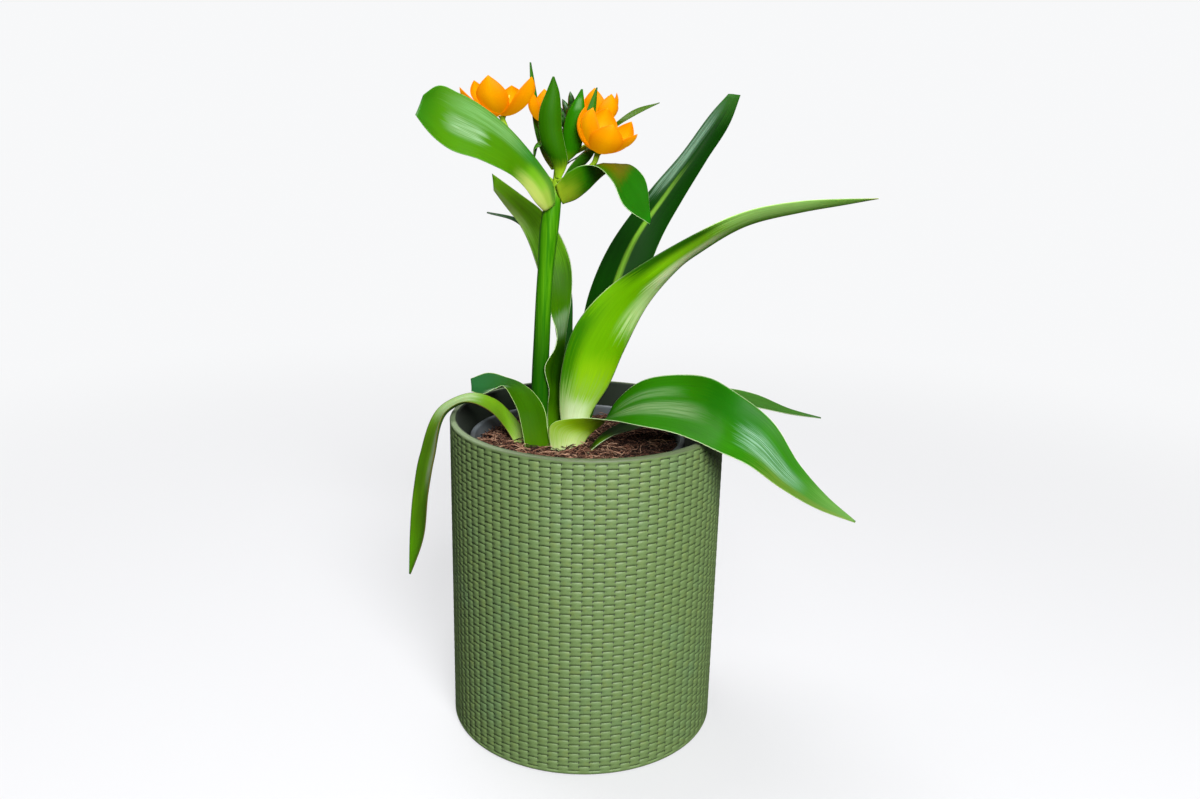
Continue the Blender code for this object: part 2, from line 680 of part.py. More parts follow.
def flower_stem(parts, cutters, materials, room):
    """Scape, raceme axis and the pedicels, grown as one piece."""
    shaft = tube("shaft", [tuple(row) for row in shaft_path()], cutters)
    pieces = [shaft]
    for name, flower in FLOWERS.items():
        axis = Vector(flower["axis"]).normalized()
        end = Vector(flower["foot"]) - axis * GAP
        route = [(*point, PEDICEL_RADIUS) for point in flower["pedicel"]]
        route.append((*(end - axis * RECEPTACLE_HEIGHT), PEDICEL_RADIUS))
        rows = [tuple(row) for row in smooth_path(route, PEDICEL_ROWS)] + [(*end, RECEPTACLE_RADIUS)]
        pieces.append(tube(name + "_stalk", rows, cutters, roundness=1))
    obj = united("flower_stem", pieces, parts, materials["stem"])
    subtract(obj, room)


def stem_hole(cutters):
    """The buried run of the shaft, grown for the plain hole that it stands in."""
    path = shaft_path()
    buried = int(np.argmax(path[:, 2] > SOIL_TOP + STEM_HOLE_RISE)) + 1
    grown = [(*row[:3], row[3] + 2 * GAP) for row in path[:buried]]
    return tube("stem_hole", grown, cutters)


def leaf(name, parts, cutters, materials, room):
    """A strap leaf, trimmed at the bulb; what is given back is the slot for its foot in the soil."""
    channel, stations = LEAVES[name]
    rows = smooth_path(with_foot(stations), LEAF_ROWS + 1)
    obj = blade(name, rows, LEAF_COLUMNS, channel, LEAF_THICKNESS, parts, materials["leaf"])
    subtract(obj, room)
    buried = int(np.argmax(rows[:, 2] > SOIL_TOP + SLOT_RISE)) + 1
    lengths = np.linalg.norm(rows[:, 3:6], axis=1)[:, None]
    rows[:, 3:6] *= (lengths + 2 * GAP) / lengths
    channel *= lengths[1, 0] / (lengths[1, 0] + 2 * GAP)
    thickness = LEAF_THICKNESS + 3 * GAP
    return blade(name + "_slot", rows, LEAF_COLUMNS, channel, thickness, cutters, kept=buried)


def bracts(table, count, columns, parts, materials):
    for name, (channel, stations) in table.items():
        rows = smooth_path(stations, count + 1)
        blade(name, rows, columns, channel, BRACT_THICKNESS, parts, materials["bract"])


def flower_frame(flower):
    """Foot, axis and two cross directions of a cup."""
    axis = Vector(flower["axis"]).normalized()
    side = axis.cross(Vector((0.0, 1.0, 0.0))).normalized()
    return Vector(flower["foot"]), axis, side, axis.cross(side)


def tepal_rows(flower, angle, inner):
    """Rows of one cupped tepal: middle points and half-width vectors."""
    foot, axis, side, back = flower_frame(flower)
    out = side * math.cos(angle) + back * math.sin(angle)
    cross = axis.cross(out)
    lift = ROOT_HEIGHT + (TEPAL_LIFT if inner else 0.0)
    reach = INNER_REACH if inner else 1.0
    width = TEPAL_WIDTH_SHARE * flower["spread"] + TEPAL_WIDTH_REST
    first, run = TEPAL_OUTLINE
    rows = []
    for index in range(TEPAL_ROWS + 1):
        t = index / TEPAL_ROWS
        bowl = BOWL_START + BOWL_TURN * t
        radius = flower["spread"] * reach * math.sin(bowl)
        height = lift + (flower["height"] - ROOT_HEIGHT) * (1.0 - math.cos(bowl))
        half = max(TEPAL_LEAST_HALF, width * math.sin(math.pi * (first + run * t)) ** TEPAL_FULLNESS)
        place = foot + out * radius + axis * height
        rows.append((*place, *(cross * half)))
    return np.array(rows)


def flower(name, parts, cutters, materials):
    """Six tepals on one small disc, with the ovary as a piece of its own."""
    spec = FLOWERS[name]
    foot, axis, _, _ = flower_frame(spec)
    top = foot + axis * DISC_HEIGHT
    disc = tube(name + "_disc", [(*foot, DISC_RADIUS), (*top, DISC_RADIUS)], cutters)
    pieces = [disc]
    for index in range(TEPALS):
        angle = math.radians(spec["turn"]) + 2 * math.pi * index / TEPALS
        rows = tepal_rows(spec, angle, index % 2 == 1)
        sheet = blade("tepal_%d" % index, rows, TEPAL_COLUMNS, -TEPAL_CUPPING, TEPAL_THICKNESS, cutters)
        pieces.append(frozen(sheet, cutters))
    united(name + "_tepals", pieces, parts, materials["tepal"])
    plump = OVARY_REST + OVARY_SHARE * spec["spread"]
    outline = [(share, size * plump) for share, size in OVARY_OUTLINE] + STYLE_OUTLINE
    base = top + axis * GAP
    points = [(*(base + axis * OVARY_HEIGHT * share), radius) for share, radius in outline]
    ovary = tube(name + "_ovary", points, parts)
    ovary.data.materials.append(materials["ovary"])


def bud_cluster(parts, cutters, materials):
    """Closed buds in a spiral round a short core above the open flowers."""
    draw = random.Random(BUD_SEED)
    foot, tip = Vector(CLUSTER_FOOT), Vector(CLUSTER_TIP)
    core = [(*foot.lerp(tip, share), radius) for share, radius in CORE_OUTLINE]
    pieces = [tube("core", core, cutters, roundness=1)]
    for index in range(BUD_COUNT):
        share = (index + 0.5) / BUD_COUNT
        angle = index * BUD_TURN + BUD_FIRST_TURN
        lean = BUD_LEAN - BUD_LEAN_DROP * share
        aim = Vector((math.sin(lean) * math.cos(angle), math.sin(lean) * math.sin(angle), math.cos(lean)))
        start = foot.lerp(tip, BUD_START + (1.0 - BUD_START) * share)
        middle = start + aim * (BUD_LENGTH * BUD_SEAT + BUD_SPREAD * draw.random())
        points = [(*(middle + aim * BUD_LENGTH * at), BUD_RADIUS * size) for at, size in BUD_OUTLINE]
        pieces.append(tube("bud_%d" % index, points, cutters, roundness=1))
    united("bud_cluster", pieces, parts, materials["bud"])


def build():
    clear_scene()
    parts = new_collection("potted_star_of_bethlehem")
    cutters = new_collection("cutters")
    materials = {
        "planter": make_material("planter_green", (0.17, 0.27, 0.13), 0.5),
        "nursery_pot": make_material("nursery_plastic", (0.05, 0.055, 0.06), 0.45),
        "soil": make_material("soil_brown", (0.12, 0.06, 0.035), 0.95),
        "bulb": make_material("bulb_skin", (0.62, 0.52, 0.36), 0.6),
        "stem": make_material("stem_green", (0.12, 0.34, 0.03), 0.35),
        "leaf": make_material("leaf_green", (0.06, 0.24, 0.02), 0.3),
        "bract": make_material("bract_green", (0.06, 0.22, 0.02), 0.3),
        "bud": make_material("bud_green", (0.03, 0.12, 0.02), 0.4),
        "tepal": make_material("tepal_orange", (0.9, 0.32, 0.01), 0.45),
        "ovary": make_material("ovary_green", (0.05, 0.08, 0.02), 0.4),
    }
    planter(parts, materials)
    nursery_pot(parts, cutters, materials)
    room = bulb(parts, cutters, materials)
    feet = [leaf(name, parts, cutters, materials, room) for name in LEAVES]
    feet.append(stem_hole(cutters))
    soil(parts, materials, room, feet)
    flower_stem(parts, cutters, materials, room)
    bracts(BRACTS, BRACT_ROWS, BRACT_COLUMNS, parts, materials)
    bracts(SLIM_BRACTS, SLIM_BRACT_ROWS, SLIM_BRACT_COLUMNS, parts, materials)
    for name in FLOWERS:
        flower(name, parts, cutters, materials)
    bud_cluster(parts, cutters, materials)


build()
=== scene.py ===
import math
import random
from functools import partial

import bmesh
import bpy
import numpy as np
from mathutils import Matrix, Vector, noise


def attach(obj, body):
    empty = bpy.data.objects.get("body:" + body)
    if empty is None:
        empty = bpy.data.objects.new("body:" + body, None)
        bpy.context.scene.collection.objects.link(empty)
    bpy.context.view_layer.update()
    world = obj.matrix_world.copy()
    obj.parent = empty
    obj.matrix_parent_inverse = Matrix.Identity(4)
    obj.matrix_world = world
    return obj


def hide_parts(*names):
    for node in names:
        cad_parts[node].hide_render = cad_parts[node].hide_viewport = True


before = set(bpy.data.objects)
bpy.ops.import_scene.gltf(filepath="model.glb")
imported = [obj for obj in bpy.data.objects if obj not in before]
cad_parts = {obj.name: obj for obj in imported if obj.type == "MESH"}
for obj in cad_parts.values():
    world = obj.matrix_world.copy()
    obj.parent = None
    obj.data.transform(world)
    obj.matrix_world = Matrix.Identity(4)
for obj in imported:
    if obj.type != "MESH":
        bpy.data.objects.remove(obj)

# Potted star of bethlehem: the looks of the woven planter, the nursery pot, its soil and the plant.
# Sizes in the dictionaries are millimetres, or times mm where a node tree reads them; meshes are in metres.
mm = 0.001
scene = bpy.context.scene
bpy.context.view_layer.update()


# Small helpers

def plainValue(value):
    # a colour written as #RRGGBB becomes the linear value that its socket takes
    if not (isinstance(value, str) and value.startswith("#")):
        return value
    parts = [int(value[at:at + 2], 16) / 255 for at in (1, 3, 5)]
    linear = [part / 12.92 if part <= 0.04045 else ((part + 0.055) / 1.055) ** 2.4 for part in parts]
    return (*linear, 1.0)


def feed(tree, sockets, values):
    # by a socket's name or number: another socket is linked to it, anything else becomes its own value
    for label, value in values.items():
        if isinstance(value, bpy.types.NodeSocket):
            tree.links.new(value, sockets[label])
        else:
            sockets[label].default_value = plainValue(value)


def addNode(tree, kind, feeds=None, **settings):
    node = tree.nodes.new(kind)
    for name, value in settings.items():
        setattr(node, name, value)
    feed(tree, node.inputs, feeds or {})
    return node


def mathNode(tree, operation, *values):
    return addNode(tree, "ShaderNodeMath", dict(enumerate(values)), operation=operation).outputs[0]


def swing(tree, value, amount):
    # a noise as a swing to both sides of zero
    return mathNode(tree, "MULTIPLY", mathNode(tree, "SUBTRACT", value, 0.5), amount)


def apart(tree, first, second):
    return mathNode(tree, "ABSOLUTE", mathNode(tree, "SUBTRACT", first, second))


def stretch(tree, value, low, high, first=0.0, last=1.0, smooth=True):
    kind = "SMOOTHSTEP" if smooth else "LINEAR"
    ends = dict(enumerate((value, low, high, first, last)))
    return addNode(tree, "ShaderNodeMapRange", ends, interpolation_type=kind).outputs[0]


def mixColor(tree, share, first, second, mode="MIX"):
    feeds = {0: share, 6: first, 7: second}     # 6 and 7 are the node's two colours
    return addNode(tree, "ShaderNodeMix", feeds, data_type="RGBA", blend_type=mode).outputs[2]


def noiseNode(tree, place, scale, detail=2.0, roughness=0.5):
    feeds = {"Vector": place, "Scale": scale, "Detail": detail, "Roughness": roughness}
    return addNode(tree, "ShaderNodeTexNoise", feeds).outputs[0]


def joinXyz(tree, x, y, z):
    return addNode(tree, "ShaderNodeCombineXYZ", {0: x, 1: y, 2: z}).outputs[0]


def splitXyz(tree, vector):
    return addNode(tree, "ShaderNodeSeparateXYZ", {0: vector}).outputs


def newGroup(name, kind, inputs, outputs):
    # a node group whose sockets have these names and values, with None for geometry
    tree = bpy.data.node_groups.new(name, kind)
    kinds = {type(None): "Geometry", int: "Int", float: "Float", tuple: "Vector", str: "Color"}
    for way, sockets in (("INPUT", inputs), ("OUTPUT", outputs)):
        for label, value in sockets.items():
            socketKind = "NodeSocket" + kinds[type(value)]
            socket = tree.interface.new_socket(label, in_out=way, socket_type=socketKind)
            if value is not None:
                socket.default_value = plainValue(value)
    return tree, addNode(tree, "NodeGroupInput").outputs, addNode(tree, "NodeGroupOutput").inputs


def socketName(key):
    # footReach is the socket Foot Reach
    return "".join(" " + letter if letter.isupper() else letter for letter in key).title()


def useGroup(tree, group, **values):
    feeds = {socketName(key): value for key, value in values.items()}
    return addNode(tree, "ShaderNodeGroup", feeds, node_tree=group).outputs


def newMaterial(name, settings):
    # a Principled material with its fixed values set on the shader's own sockets
    material = bpy.data.materials.new(name)
    material.use_nodes = True
    tree = material.node_tree
    shader = tree.nodes["Principled BSDF"]
    feed(tree, shader.inputs, settings)
    return material, tree, shader


def addBump(tree, shader, height, distance, strength):
    feeds = {"Strength": strength, "Distance": distance * mm, "Height": height}
    feed(tree, shader.inputs, {"Normal": addNode(tree, "ShaderNodeBump", feeds).outputs[0]})


def addRelief(tree, shader, place, relief):
    scale, detail, depth, strength = relief
    addBump(tree, shader, noiseNode(tree, place, scale, detail), depth, strength)


def objectPlace(tree):
    return addNode(tree, "ShaderNodeTexCoord").outputs["Object"]


def mottledMaterial(name, skin):
    # two colours mixed by a noise, over a finer relief of scale, detail, depth and strength
    material, tree, shader = newMaterial(name, {"Roughness": skin["roughness"]})
    place = objectPlace(tree)
    share = noiseNode(tree, place, *skin["grain"])
    if "spread" in skin:
        share = stretch(tree, share, *skin["spread"])
    feed(tree, shader.inputs, {"Base Color": mixColor(tree, share, *skin["colors"])})
    addRelief(tree, shader, place, skin["relief"])
    return material


def newPiece(name, mesh, material=None):
    piece = bpy.data.objects.new(name, mesh)
    scene.collection.objects.link(piece)
    if material is not None:
        mesh.materials.clear()
        mesh.materials.append(material)
    return piece


def settle(piece, slotName, *nodes):
    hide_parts(*nodes)
    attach(piece, "root")


def bake(piece):
    # the modifiers' result as the piece's own plain mesh
    graph = bpy.context.evaluated_depsgraph_get()
    mesh = bpy.data.meshes.new_from_object(piece.evaluated_get(graph))
    piece.modifiers.clear()
    piece.data = mesh
    return piece


def grow(name, tree, values, base=None):
    # runs a Geometry Nodes tree once, on a mesh or on nothing
    piece = newPiece(name, base or bpy.data.meshes.new(name))
    modifier = piece.modifiers.new("nodes", "NODES")
    modifier.node_group = tree
    sockets = [item for item in tree.interface.items_tree if item.item_type == "SOCKET"]
    names = {item.name: item.identifier for item in sockets if item.in_out == "INPUT"}
    for label, value in values.items():
        modifier[names[label]] = value
    return bake(piece)


def finishTree(tree, geometry, material, result):
    # every tree ends in real geometry with its material
    real = addNode(tree, "GeometryNodeRealizeInstances", {0: geometry})
    smooth = addNode(tree, "GeometryNodeSetShadeSmooth", {"Geometry": real.outputs[0]})
    paint = addNode(tree, "GeometryNodeSetMaterial", {"Geometry": smooth.outputs[0], "Material": material})
    feed(tree, result, {"Geometry": paint.outputs[0]})
    return tree


def smoothMesh(name, points, faces):
    mesh = bpy.data.meshes.new(name)
    mesh.from_pydata([tuple(point) for point in points], [], [tuple(face) for face in faces])
    mesh.shade_smooth()
    return mesh


def turnedMesh(name, profile, segments, centre=(0.0, 0.0)):
    # (radius, height) points that run up the outer side; a radius of 0 closes a pole
    points, faces, rings = [], [], []
    for radius, height in profile:
        count = segments if radius > 0.0 else 1
        rings.append([len(points) + step for step in range(count)])
        for step in range(count):
            angle = 2 * math.pi * step / segments
            x = centre[0] + radius * math.cos(angle)
            y = centre[1] + radius * math.sin(angle)
            points.append((x * mm, y * mm, height * mm))
    for low, high in zip(rings[:-1], rings[1:]):
        for step in range(segments):
            ahead = (step + 1) % segments
            corners = [low[at % len(low)] for at in (step, ahead)]
            corners += [high[at % len(high)] for at in (ahead, step)]
            faces.append(dict.fromkeys(corners))         # a pole's corner counts once
    return smoothMesh(name, points, faces)


def smoothPath(points, count):
    # evenly spaced rows on a smooth curve through rows of numbers; the first three are its place
    rows = np.array(points, dtype=float)
    steps = np.linalg.norm(np.diff(rows[:, :3], axis=0), axis=1)
    at = np.concatenate([[0.0], np.cumsum(steps)])
    slopes = np.diff(rows, axis=0) / steps[:, None]
    tangents = np.empty_like(rows)
    tangents[0] = slopes[0]
    tangents[-1] = slopes[-1]
    before, after = steps[:-1, None], steps[1:, None]
    tangents[1:-1] = (slopes[:-1] * after + slopes[1:] * before) / (before + after)
    result = []
    for where in np.linspace(0.0, at[-1], count):
        index = min(int(np.searchsorted(at, where, side="right")) - 1, len(steps) - 1)
        span = steps[index]
        t = (where - at[index]) / span
        start, end = rows[index], rows[index + 1]
        out, into = tangents[index] * span, tangents[index + 1] * span
        result.append(start * (2 * t**3 - 3 * t**2 + 1) + out * (t**3 - 2 * t**2 + t)
                      + end * (3 * t**2 - 2 * t**3) + into * (t**3 - t**2))
    return np.array(result)


# Camera, as the photograph looks at the plant

view = {
    "place": (6.72, -558.22, 344.7),
    "lookDown": 16.146,            # degrees, as the roll is
    "roll": -1.296,
    "lens": 32.25,
    "sensor": 36.0,
    "nearest": 10.0,               # nothing nearer than this shows
}


def makeCamera():
    down, roll = math.radians(view["lookDown"]), math.radians(view["roll"])
    right = Vector((1.0, 0.0, 0.0))
    ahead = Vector((0.0, math.cos(down), -math.sin(down)))
    up = Vector((0.0, math.sin(down), math.cos(down)))
    across = right * math.cos(roll) - up * math.sin(roll)
    above = right * math.sin(roll) + up * math.cos(roll)
    turn = Matrix((across, above, -ahead)).transposed().to_4x4()
    lens = bpy.data.cameras.new("camera")
    lens.lens = view["lens"]
    lens.sensor_width = view["sensor"]
    lens.clip_start = view["nearest"] * mm
    camera = bpy.data.objects.new("camera", lens)
    scene.collection.objects.link(camera)
    camera.matrix_world = Matrix.Translation(Vector(view["place"]) * mm) @ turn
    scene.camera = camera


# Light and floor

studio = {
    "backdrop": (0.935, 0.94, 0.95, 1.0),
    "skyLow": 0.05,                # light from below, from the sides and from above
    "skySide": 0.10,
    "skyHigh": 0.34,
    "skyLevels": (-0.6, 0.0, 0.9),     # how steeply a ray rises where it meets each of the three
    "lamps": {                     # place, aim, size and power, in metres and watts
        "key": ((0.34, -1.28, 1.05), (0.0, 0.0, 0.15), 0.8, 39.5),
        "top": ((-0.35, 0.35, 1.30), (0.0, 0.0, 0.25), 0.7, 10.0),
    },
    "floorRadius": 6000.0,
    "floorHeight": -0.4,           # just under the planter
    "floorSides": 96,
    "floorPaint": (0.34, 0.34, 0.35, 1.0),
    "floorGlow": 0.50,             # how bright the floor is by itself near the planter
    "floorFade": (0.2, 1.0),       # metres over which it turns into the backdrop
}


def makeWorld():
    world = bpy.data.worlds.new("studio")
    scene.world = world
    world.use_nodes = True
    tree = world.node_tree
    tree.nodes.clear()
    below, level, above = studio["skyLevels"]
    rise = splitXyz(tree, addNode(tree, "ShaderNodeTexCoord").outputs["Generated"])[2]
    upper = stretch(tree, rise, level, above, studio["skySide"], studio["skyHigh"])
    whole = stretch(tree, rise, below, level, studio["skyLow"], upper)
    seen = addNode(tree, "ShaderNodeBackground", {"Color": studio["backdrop"]})
    lit = addNode(tree, "ShaderNodeBackground", {"Strength": whole})
    isSeen = addNode(tree, "ShaderNodeLightPath").outputs["Is Camera Ray"]
    either = addNode(tree, "ShaderNodeMixShader", {0: isSeen, 1: lit.outputs[0], 2: seen.outputs[0]})
    addNode(tree, "ShaderNodeOutputWorld", {0: either.outputs[0]})


def makeLamps():
    for name, (place, aim, size, power) in studio["lamps"].items():
        lamp = bpy.data.lights.new(name, "AREA")
        lamp.shape = "DISK"
        lamp.size = size
        lamp.energy = power
        holder = bpy.data.objects.new(name, lamp)
        holder.location = place
        holder.rotation_euler = (Vector(aim) - Vector(place)).to_track_quat("-Z", "Y").to_euler()
        holder.visible_camera = False
        scene.collection.objects.link(holder)


def makeFloor():
    settings = {"Roughness": 0.9, "Specular IOR Level": 0.0, "Emission Strength": 1.0}
    material, tree, shader = newMaterial("floorPaint", settings)
    away = addNode(tree, "ShaderNodeVectorMath", {0: objectPlace(tree)}, operation="LENGTH")
    far = stretch(tree, away.outputs["Value"], *studio["floorFade"])
    near = (*[part * studio["floorGlow"] for part in studio["backdrop"][:3]], 1.0)
    feed(tree, shader.inputs, {
        "Emission Color": mixColor(tree, far, near, studio["backdrop"]),
        "Base Color": mixColor(tree, far, studio["floorPaint"], "#000000"),
    })
    profile = [(studio["floorRadius"], studio["floorHeight"]), (0.0, studio["floorHeight"])]
    floor = newPiece("floor", turnedMesh("floor", profile, studio["floorSides"]), material)
    floor.visible_diffuse = False
    floor.visible_glossy = False


# Planter: one closed body whose outer wall is a weave of offset tiles

weave = {
    "Top Radius": 74.0 * mm,
    "Base Radius": 73.6 * mm,
    "Height": 174.0 * mm,
    "Wall": 4.0 * mm,
    "Draft": 1.0 * mm,             # the inside is this much narrower at the floor
    "Floor": 5.0 * mm,
    "Fillet": 2.0 * mm,            # where the inside meets the floor
    "Columns": 84,
    "Rows": 33,
    "Band": 2.3 * mm,              # plain band above and below the weave
    "Lead": 0.35 * mm,             # from the band's last plain ring to the weave
    "Relief": 0.95 * mm,
    "Bevel": 0.9 * mm,
    "Weld": 0.01 * mm,
}
tileRows = [0.0, 0.05, 0.25, 0.43, 0.5, 0.55, 0.75, 0.93]    # levels up one tile; its groove is the first
tileColumns = [0.0, 0.10, 0.5, 0.90]                         # steps across one tile; the seam is the first
middleDepth = [0.80, 0.03, 0.0, 0.0, 0.02, 0.03, 0.07, 0.16]  # shares of the relief at each level
sideDepth = [0.90, 0.08, 0.03, 0.04, 0.06, 0.05, 0.09, 0.30]
seamDepth = [1.00, 0.30, 0.34, 1.00]                         # repeats twice up a tile


def lookUp(tree, index, table):
    node = addNode(tree, "GeometryNodeIndexSwitch", data_type="FLOAT")
    while len(node.index_switch_items) < len(table):
        node.index_switch_items.new()
    feed(tree, node.inputs, dict(enumerate([index, *table])))
    return node.outputs[0]


def chosen(tree, condition, yes, no):
    return addNode(tree, "GeometryNodeSwitch", {0: condition, 1: no, 2: yes}, input_type="FLOAT").outputs[0]


def planterTree(material):
    tree, given, result = newGroup("wovenPlanter", "GeometryNodeTree", weave, {"Geometry": None})
    calc = partial(mathNode, tree)
    bevel, height, top, base = given["Bevel"], given["Height"], given["Top Radius"], given["Base Radius"]
    floor, fillet, draft = given["Floor"], given["Fillet"], given["Draft"]
    inner = calc("SUBTRACT", top, given["Wall"])
    foot = calc("SUBTRACT", inner, draft)
    third, filletThird = calc("MULTIPLY", bevel, 0.3), calc("MULTIPLY", fillet, 0.3)
    lastRing = calc("SUBTRACT", given["Band"], given["Lead"])
    lowProfile = [
        (0.0, 0.0),
        (calc("MULTIPLY", base, 0.5), 0.0),
        (calc("SUBTRACT", base, bevel), 0.0),
        (calc("SUBTRACT", base, third), third),
        (base, bevel),
        (base, lastRing),
    ]
    highProfile = [
        (top, calc("SUBTRACT", height, lastRing)),
        (top, calc("SUBTRACT", height, bevel)),
        (calc("SUBTRACT", top, third), calc("SUBTRACT", height, third)),
        (calc("SUBTRACT", top, bevel), height),
        (calc("ADD", inner, bevel), height),
        (calc("ADD", inner, third), calc("SUBTRACT", height, third)),
        (inner, calc("SUBTRACT", height, bevel)),
        (calc("ADD", foot, calc("MULTIPLY", draft, 0.5)), calc("MULTIPLY", height, 0.5)),
        (foot, calc("ADD", floor, fillet)),
        (calc("SUBTRACT", foot, filletThird), calc("ADD", floor, filletThird)),
        (calc("SUBTRACT", foot, fillet), floor),
        (calc("MULTIPLY", foot, 0.5), floor),
        (0.0, floor),
    ]
    perTile, below, half = len(tileColumns), len(lowProfile), len(seamDepth)
    segments = calc("MULTIPLY", given["Columns"], perTile)
    levels = calc("ADD", calc("MULTIPLY", given["Rows"], len(tileRows)), 1)
    allRows = calc("ADD", levels, below + len(highProfile))
    lastRow = calc("SUBTRACT", allRows, 1)
    grid = addNode(tree, "GeometryNodeMeshGrid", {
        "Size X": segments, "Size Y": lastRow, "Vertices X": calc("ADD", segments, 1), "Vertices Y": allRows,
    })
    x, y, _ = splitXyz(tree, addNode(tree, "GeometryNodeInputPosition").outputs[0])
    step = calc("ROUND", calc("ADD", x, calc("MULTIPLY", segments, 0.5)))
    row = calc("ROUND", calc("ADD", y, calc("MULTIPLY", lastRow, 0.5)))

    # where a vertex is in its tile; every other column is half a tile higher
    column = calc("FLOOR", calc("DIVIDE", calc("ADD", step, 0.5), perTile))
    within = calc("ROUND", calc("SUBTRACT", step, calc("MULTIPLY", column, perTile)))
    odd = calc("FLOORED_MODULO", column, 2)
    level = calc("SUBTRACT", row, below)
    tile = calc("FLOOR", calc("DIVIDE", calc("ADD", level, 0.5), len(tileRows)))
    stage = calc("ROUND", calc("SUBTRACT", level, calc("MULTIPLY", tile, len(tileRows))))
    own = calc("FLOORED_MODULO", calc("ADD", stage, calc("MULTIPLY", odd, half)), len(tileRows))
    seam = lookUp(tree, calc("FLOORED_MODULO", stage, half), seamDepth)
    side = lookUp(tree, own, sideDepth)
    middle = lookUp(tree, own, middleDepth)
    depth = lookUp(tree, within, [seam, side, middle, side])
    room = calc("SUBTRACT", height, calc("MULTIPLY", given["Band"], 2))
    phase = calc("ADD", tile, lookUp(tree, stage, tileRows))
    wovenZ = calc("ADD", given["Band"], calc("DIVIDE", calc("MULTIPLY", phase, room), given["Rows"]))
    wall = calc("ADD", base, calc("MULTIPLY", calc("SUBTRACT", top, base), calc("DIVIDE", wovenZ, height)))
    wovenRadius = calc("SUBTRACT", wall, calc("MULTIPLY", depth, given["Relief"]))

    # the plain rings below and above the weave
    above = calc("GREATER_THAN", level, calc("SUBTRACT", levels, 0.5))
    plain = calc("SUBTRACT", row, calc("MULTIPLY", above, levels))
    plainRadius, plainZ = [lookUp(tree, plain, numbers) for numbers in zip(*lowProfile, *highProfile)]
    isPlain = calc("ADD", above, calc("LESS_THAN", level, -0.5))
    radius = chosen(tree, isPlain, plainRadius, wovenRadius)
    z = chosen(tree, isPlain, plainZ, wovenZ)
    around = calc("DIVIDE", calc("ADD", column, lookUp(tree, within, tileColumns)), given["Columns"])
    angle = calc("MULTIPLY", around, 2 * math.pi)
    x, y = [calc("MULTIPLY", radius, calc(turn, angle)) for turn in ("COSINE", "SINE")]
    feeds = {"Geometry": grid.outputs["Mesh"], "Position": joinXyz(tree, x, y, z)}
    move = addNode(tree, "GeometryNodeSetPosition", feeds)
    feeds = {"Geometry": move.outputs[0], "Distance": given["Weld"]}
    weld = addNode(tree, "GeometryNodeMergeByDistance", feeds)
    return finishTree(tree, weld.outputs[0], material, result)


planterLook = {
    "color": "#6B844E",
    "cool": "#66865C",
    "warm": "#748848",
    # painted shade in the grooves
    "grooveShade": "#1E2C10",
    # painted shade on the inside of the wall
    "inside": "#0E1C0A",
    "rim": "#4A523A",
    # painted highlight at the rim's left end
    "rimHighlight": "#7A8A6A",
    "roughness": 0.56,
    "roughInside": 0.95,
    "grooveDepths": (0.22, 0.75),  # shares of the relief over which the grooves' painted shade comes in
    "deepest": 1.3,                # anything deeper isn't a groove
    "rimDepths": (1.4, 0.4),       # below the top, where the rim's colour comes in
    "paleEnd": (-70.0, -20.0),     # x over which the rim goes from its painted highlight to dark
    "insideDepths": (1.6, 0.6),    # short of the wall's inner face, where the painted shade of the inside comes in
    "shine": 0.6,
    "coolGrain": (30.0,), "coolSpread": (0.5, 0.8, 0.0, 0.5),      # noise scale; noise range and share there
    "warmGrain": (240.0, 3.0), "warmSpread": (0.5, 0.75), "warmShare": 0.6,
    "rimShare": 0.8,
    "relief": (1500.0, 4.0, 0.12, 0.6),                            # noise scale and detail, depth, strength
}


def planterMaterial():
    look, height, relief = planterLook, weave["Height"], weave["Relief"]
    settings = {"Roughness": look["roughness"], "Specular IOR Level": look["shine"]}
    material, tree, shader = newMaterial("wovenPlastic", settings)
    calc = partial(mathNode, tree)
    place = objectPlace(tree)
    cool = stretch(tree, noiseNode(tree, place, *look["coolGrain"]), *look["coolSpread"])
    warm = stretch(tree, noiseNode(tree, place, *look["warmGrain"]), *look["warmSpread"])
    color = mixColor(tree, cool, look["color"], look["cool"])
    color = mixColor(tree, calc("MULTIPLY", warm, look["warmShare"]), color, look["warm"])
    # how far in from the tiles' radius a place lies tells grooves and the inside from the outside; both get
    # painted shade
    x, y, z = splitXyz(tree, place)
    radius = calc("SQRT", calc("ADD", calc("POWER", x, 2.0), calc("POWER", y, 2.0)))
    wall = stretch(tree, z, 0.0, height, weave["Base Radius"], weave["Top Radius"], False)
    depth = calc("SUBTRACT", wall, radius)
    # painted shade: the grooves between the tiles take a dark colour
    grooveShadeMask = stretch(tree, depth, *[share * relief for share in look["grooveDepths"]])
    grooveShadeMask = calc("MULTIPLY", grooveShadeMask, calc("LESS_THAN", depth, look["deepest"] * relief))
    grooveShadeMask = calc("MULTIPLY", grooveShadeMask, calc("LESS_THAN", z, height - weave["Band"]))
    color = mixColor(tree, grooveShadeMask, color, look["grooveShade"])
    # the rim takes a darker colour, paler towards the left as a painted highlight
    onRim = stretch(tree, z, *[height - below * mm for below in look["rimDepths"]], 0.0, look["rimShare"])
    rimHighlightShare = stretch(tree, x, *[end * mm for end in look["paleEnd"]], 1.0, 0.0)
    color = mixColor(tree, onRim, color, mixColor(tree, rimHighlightShare, look["rim"], look["rimHighlight"]))
    # painted shade: the inside of the wall takes a dark colour, and it is also rougher
    inside = stretch(tree, depth, *[weave["Wall"] - short * mm for short in look["insideDepths"]])
    feed(tree, shader.inputs, {
        "Base Color": mixColor(tree, inside, color, look["inside"]),
        "Roughness": stretch(tree, inside, 0.0, 1.0, look["roughness"], look["roughInside"]),
    })
    addRelief(tree, shader, place, look["relief"])
    return material


def makePlanter():
    piece = grow("wovenPlanter", planterTree(planterMaterial()), weave)
    settle(piece, "planter", "planter")


# Nursery pot: a thin dark pot with a rolled lip and drain holes

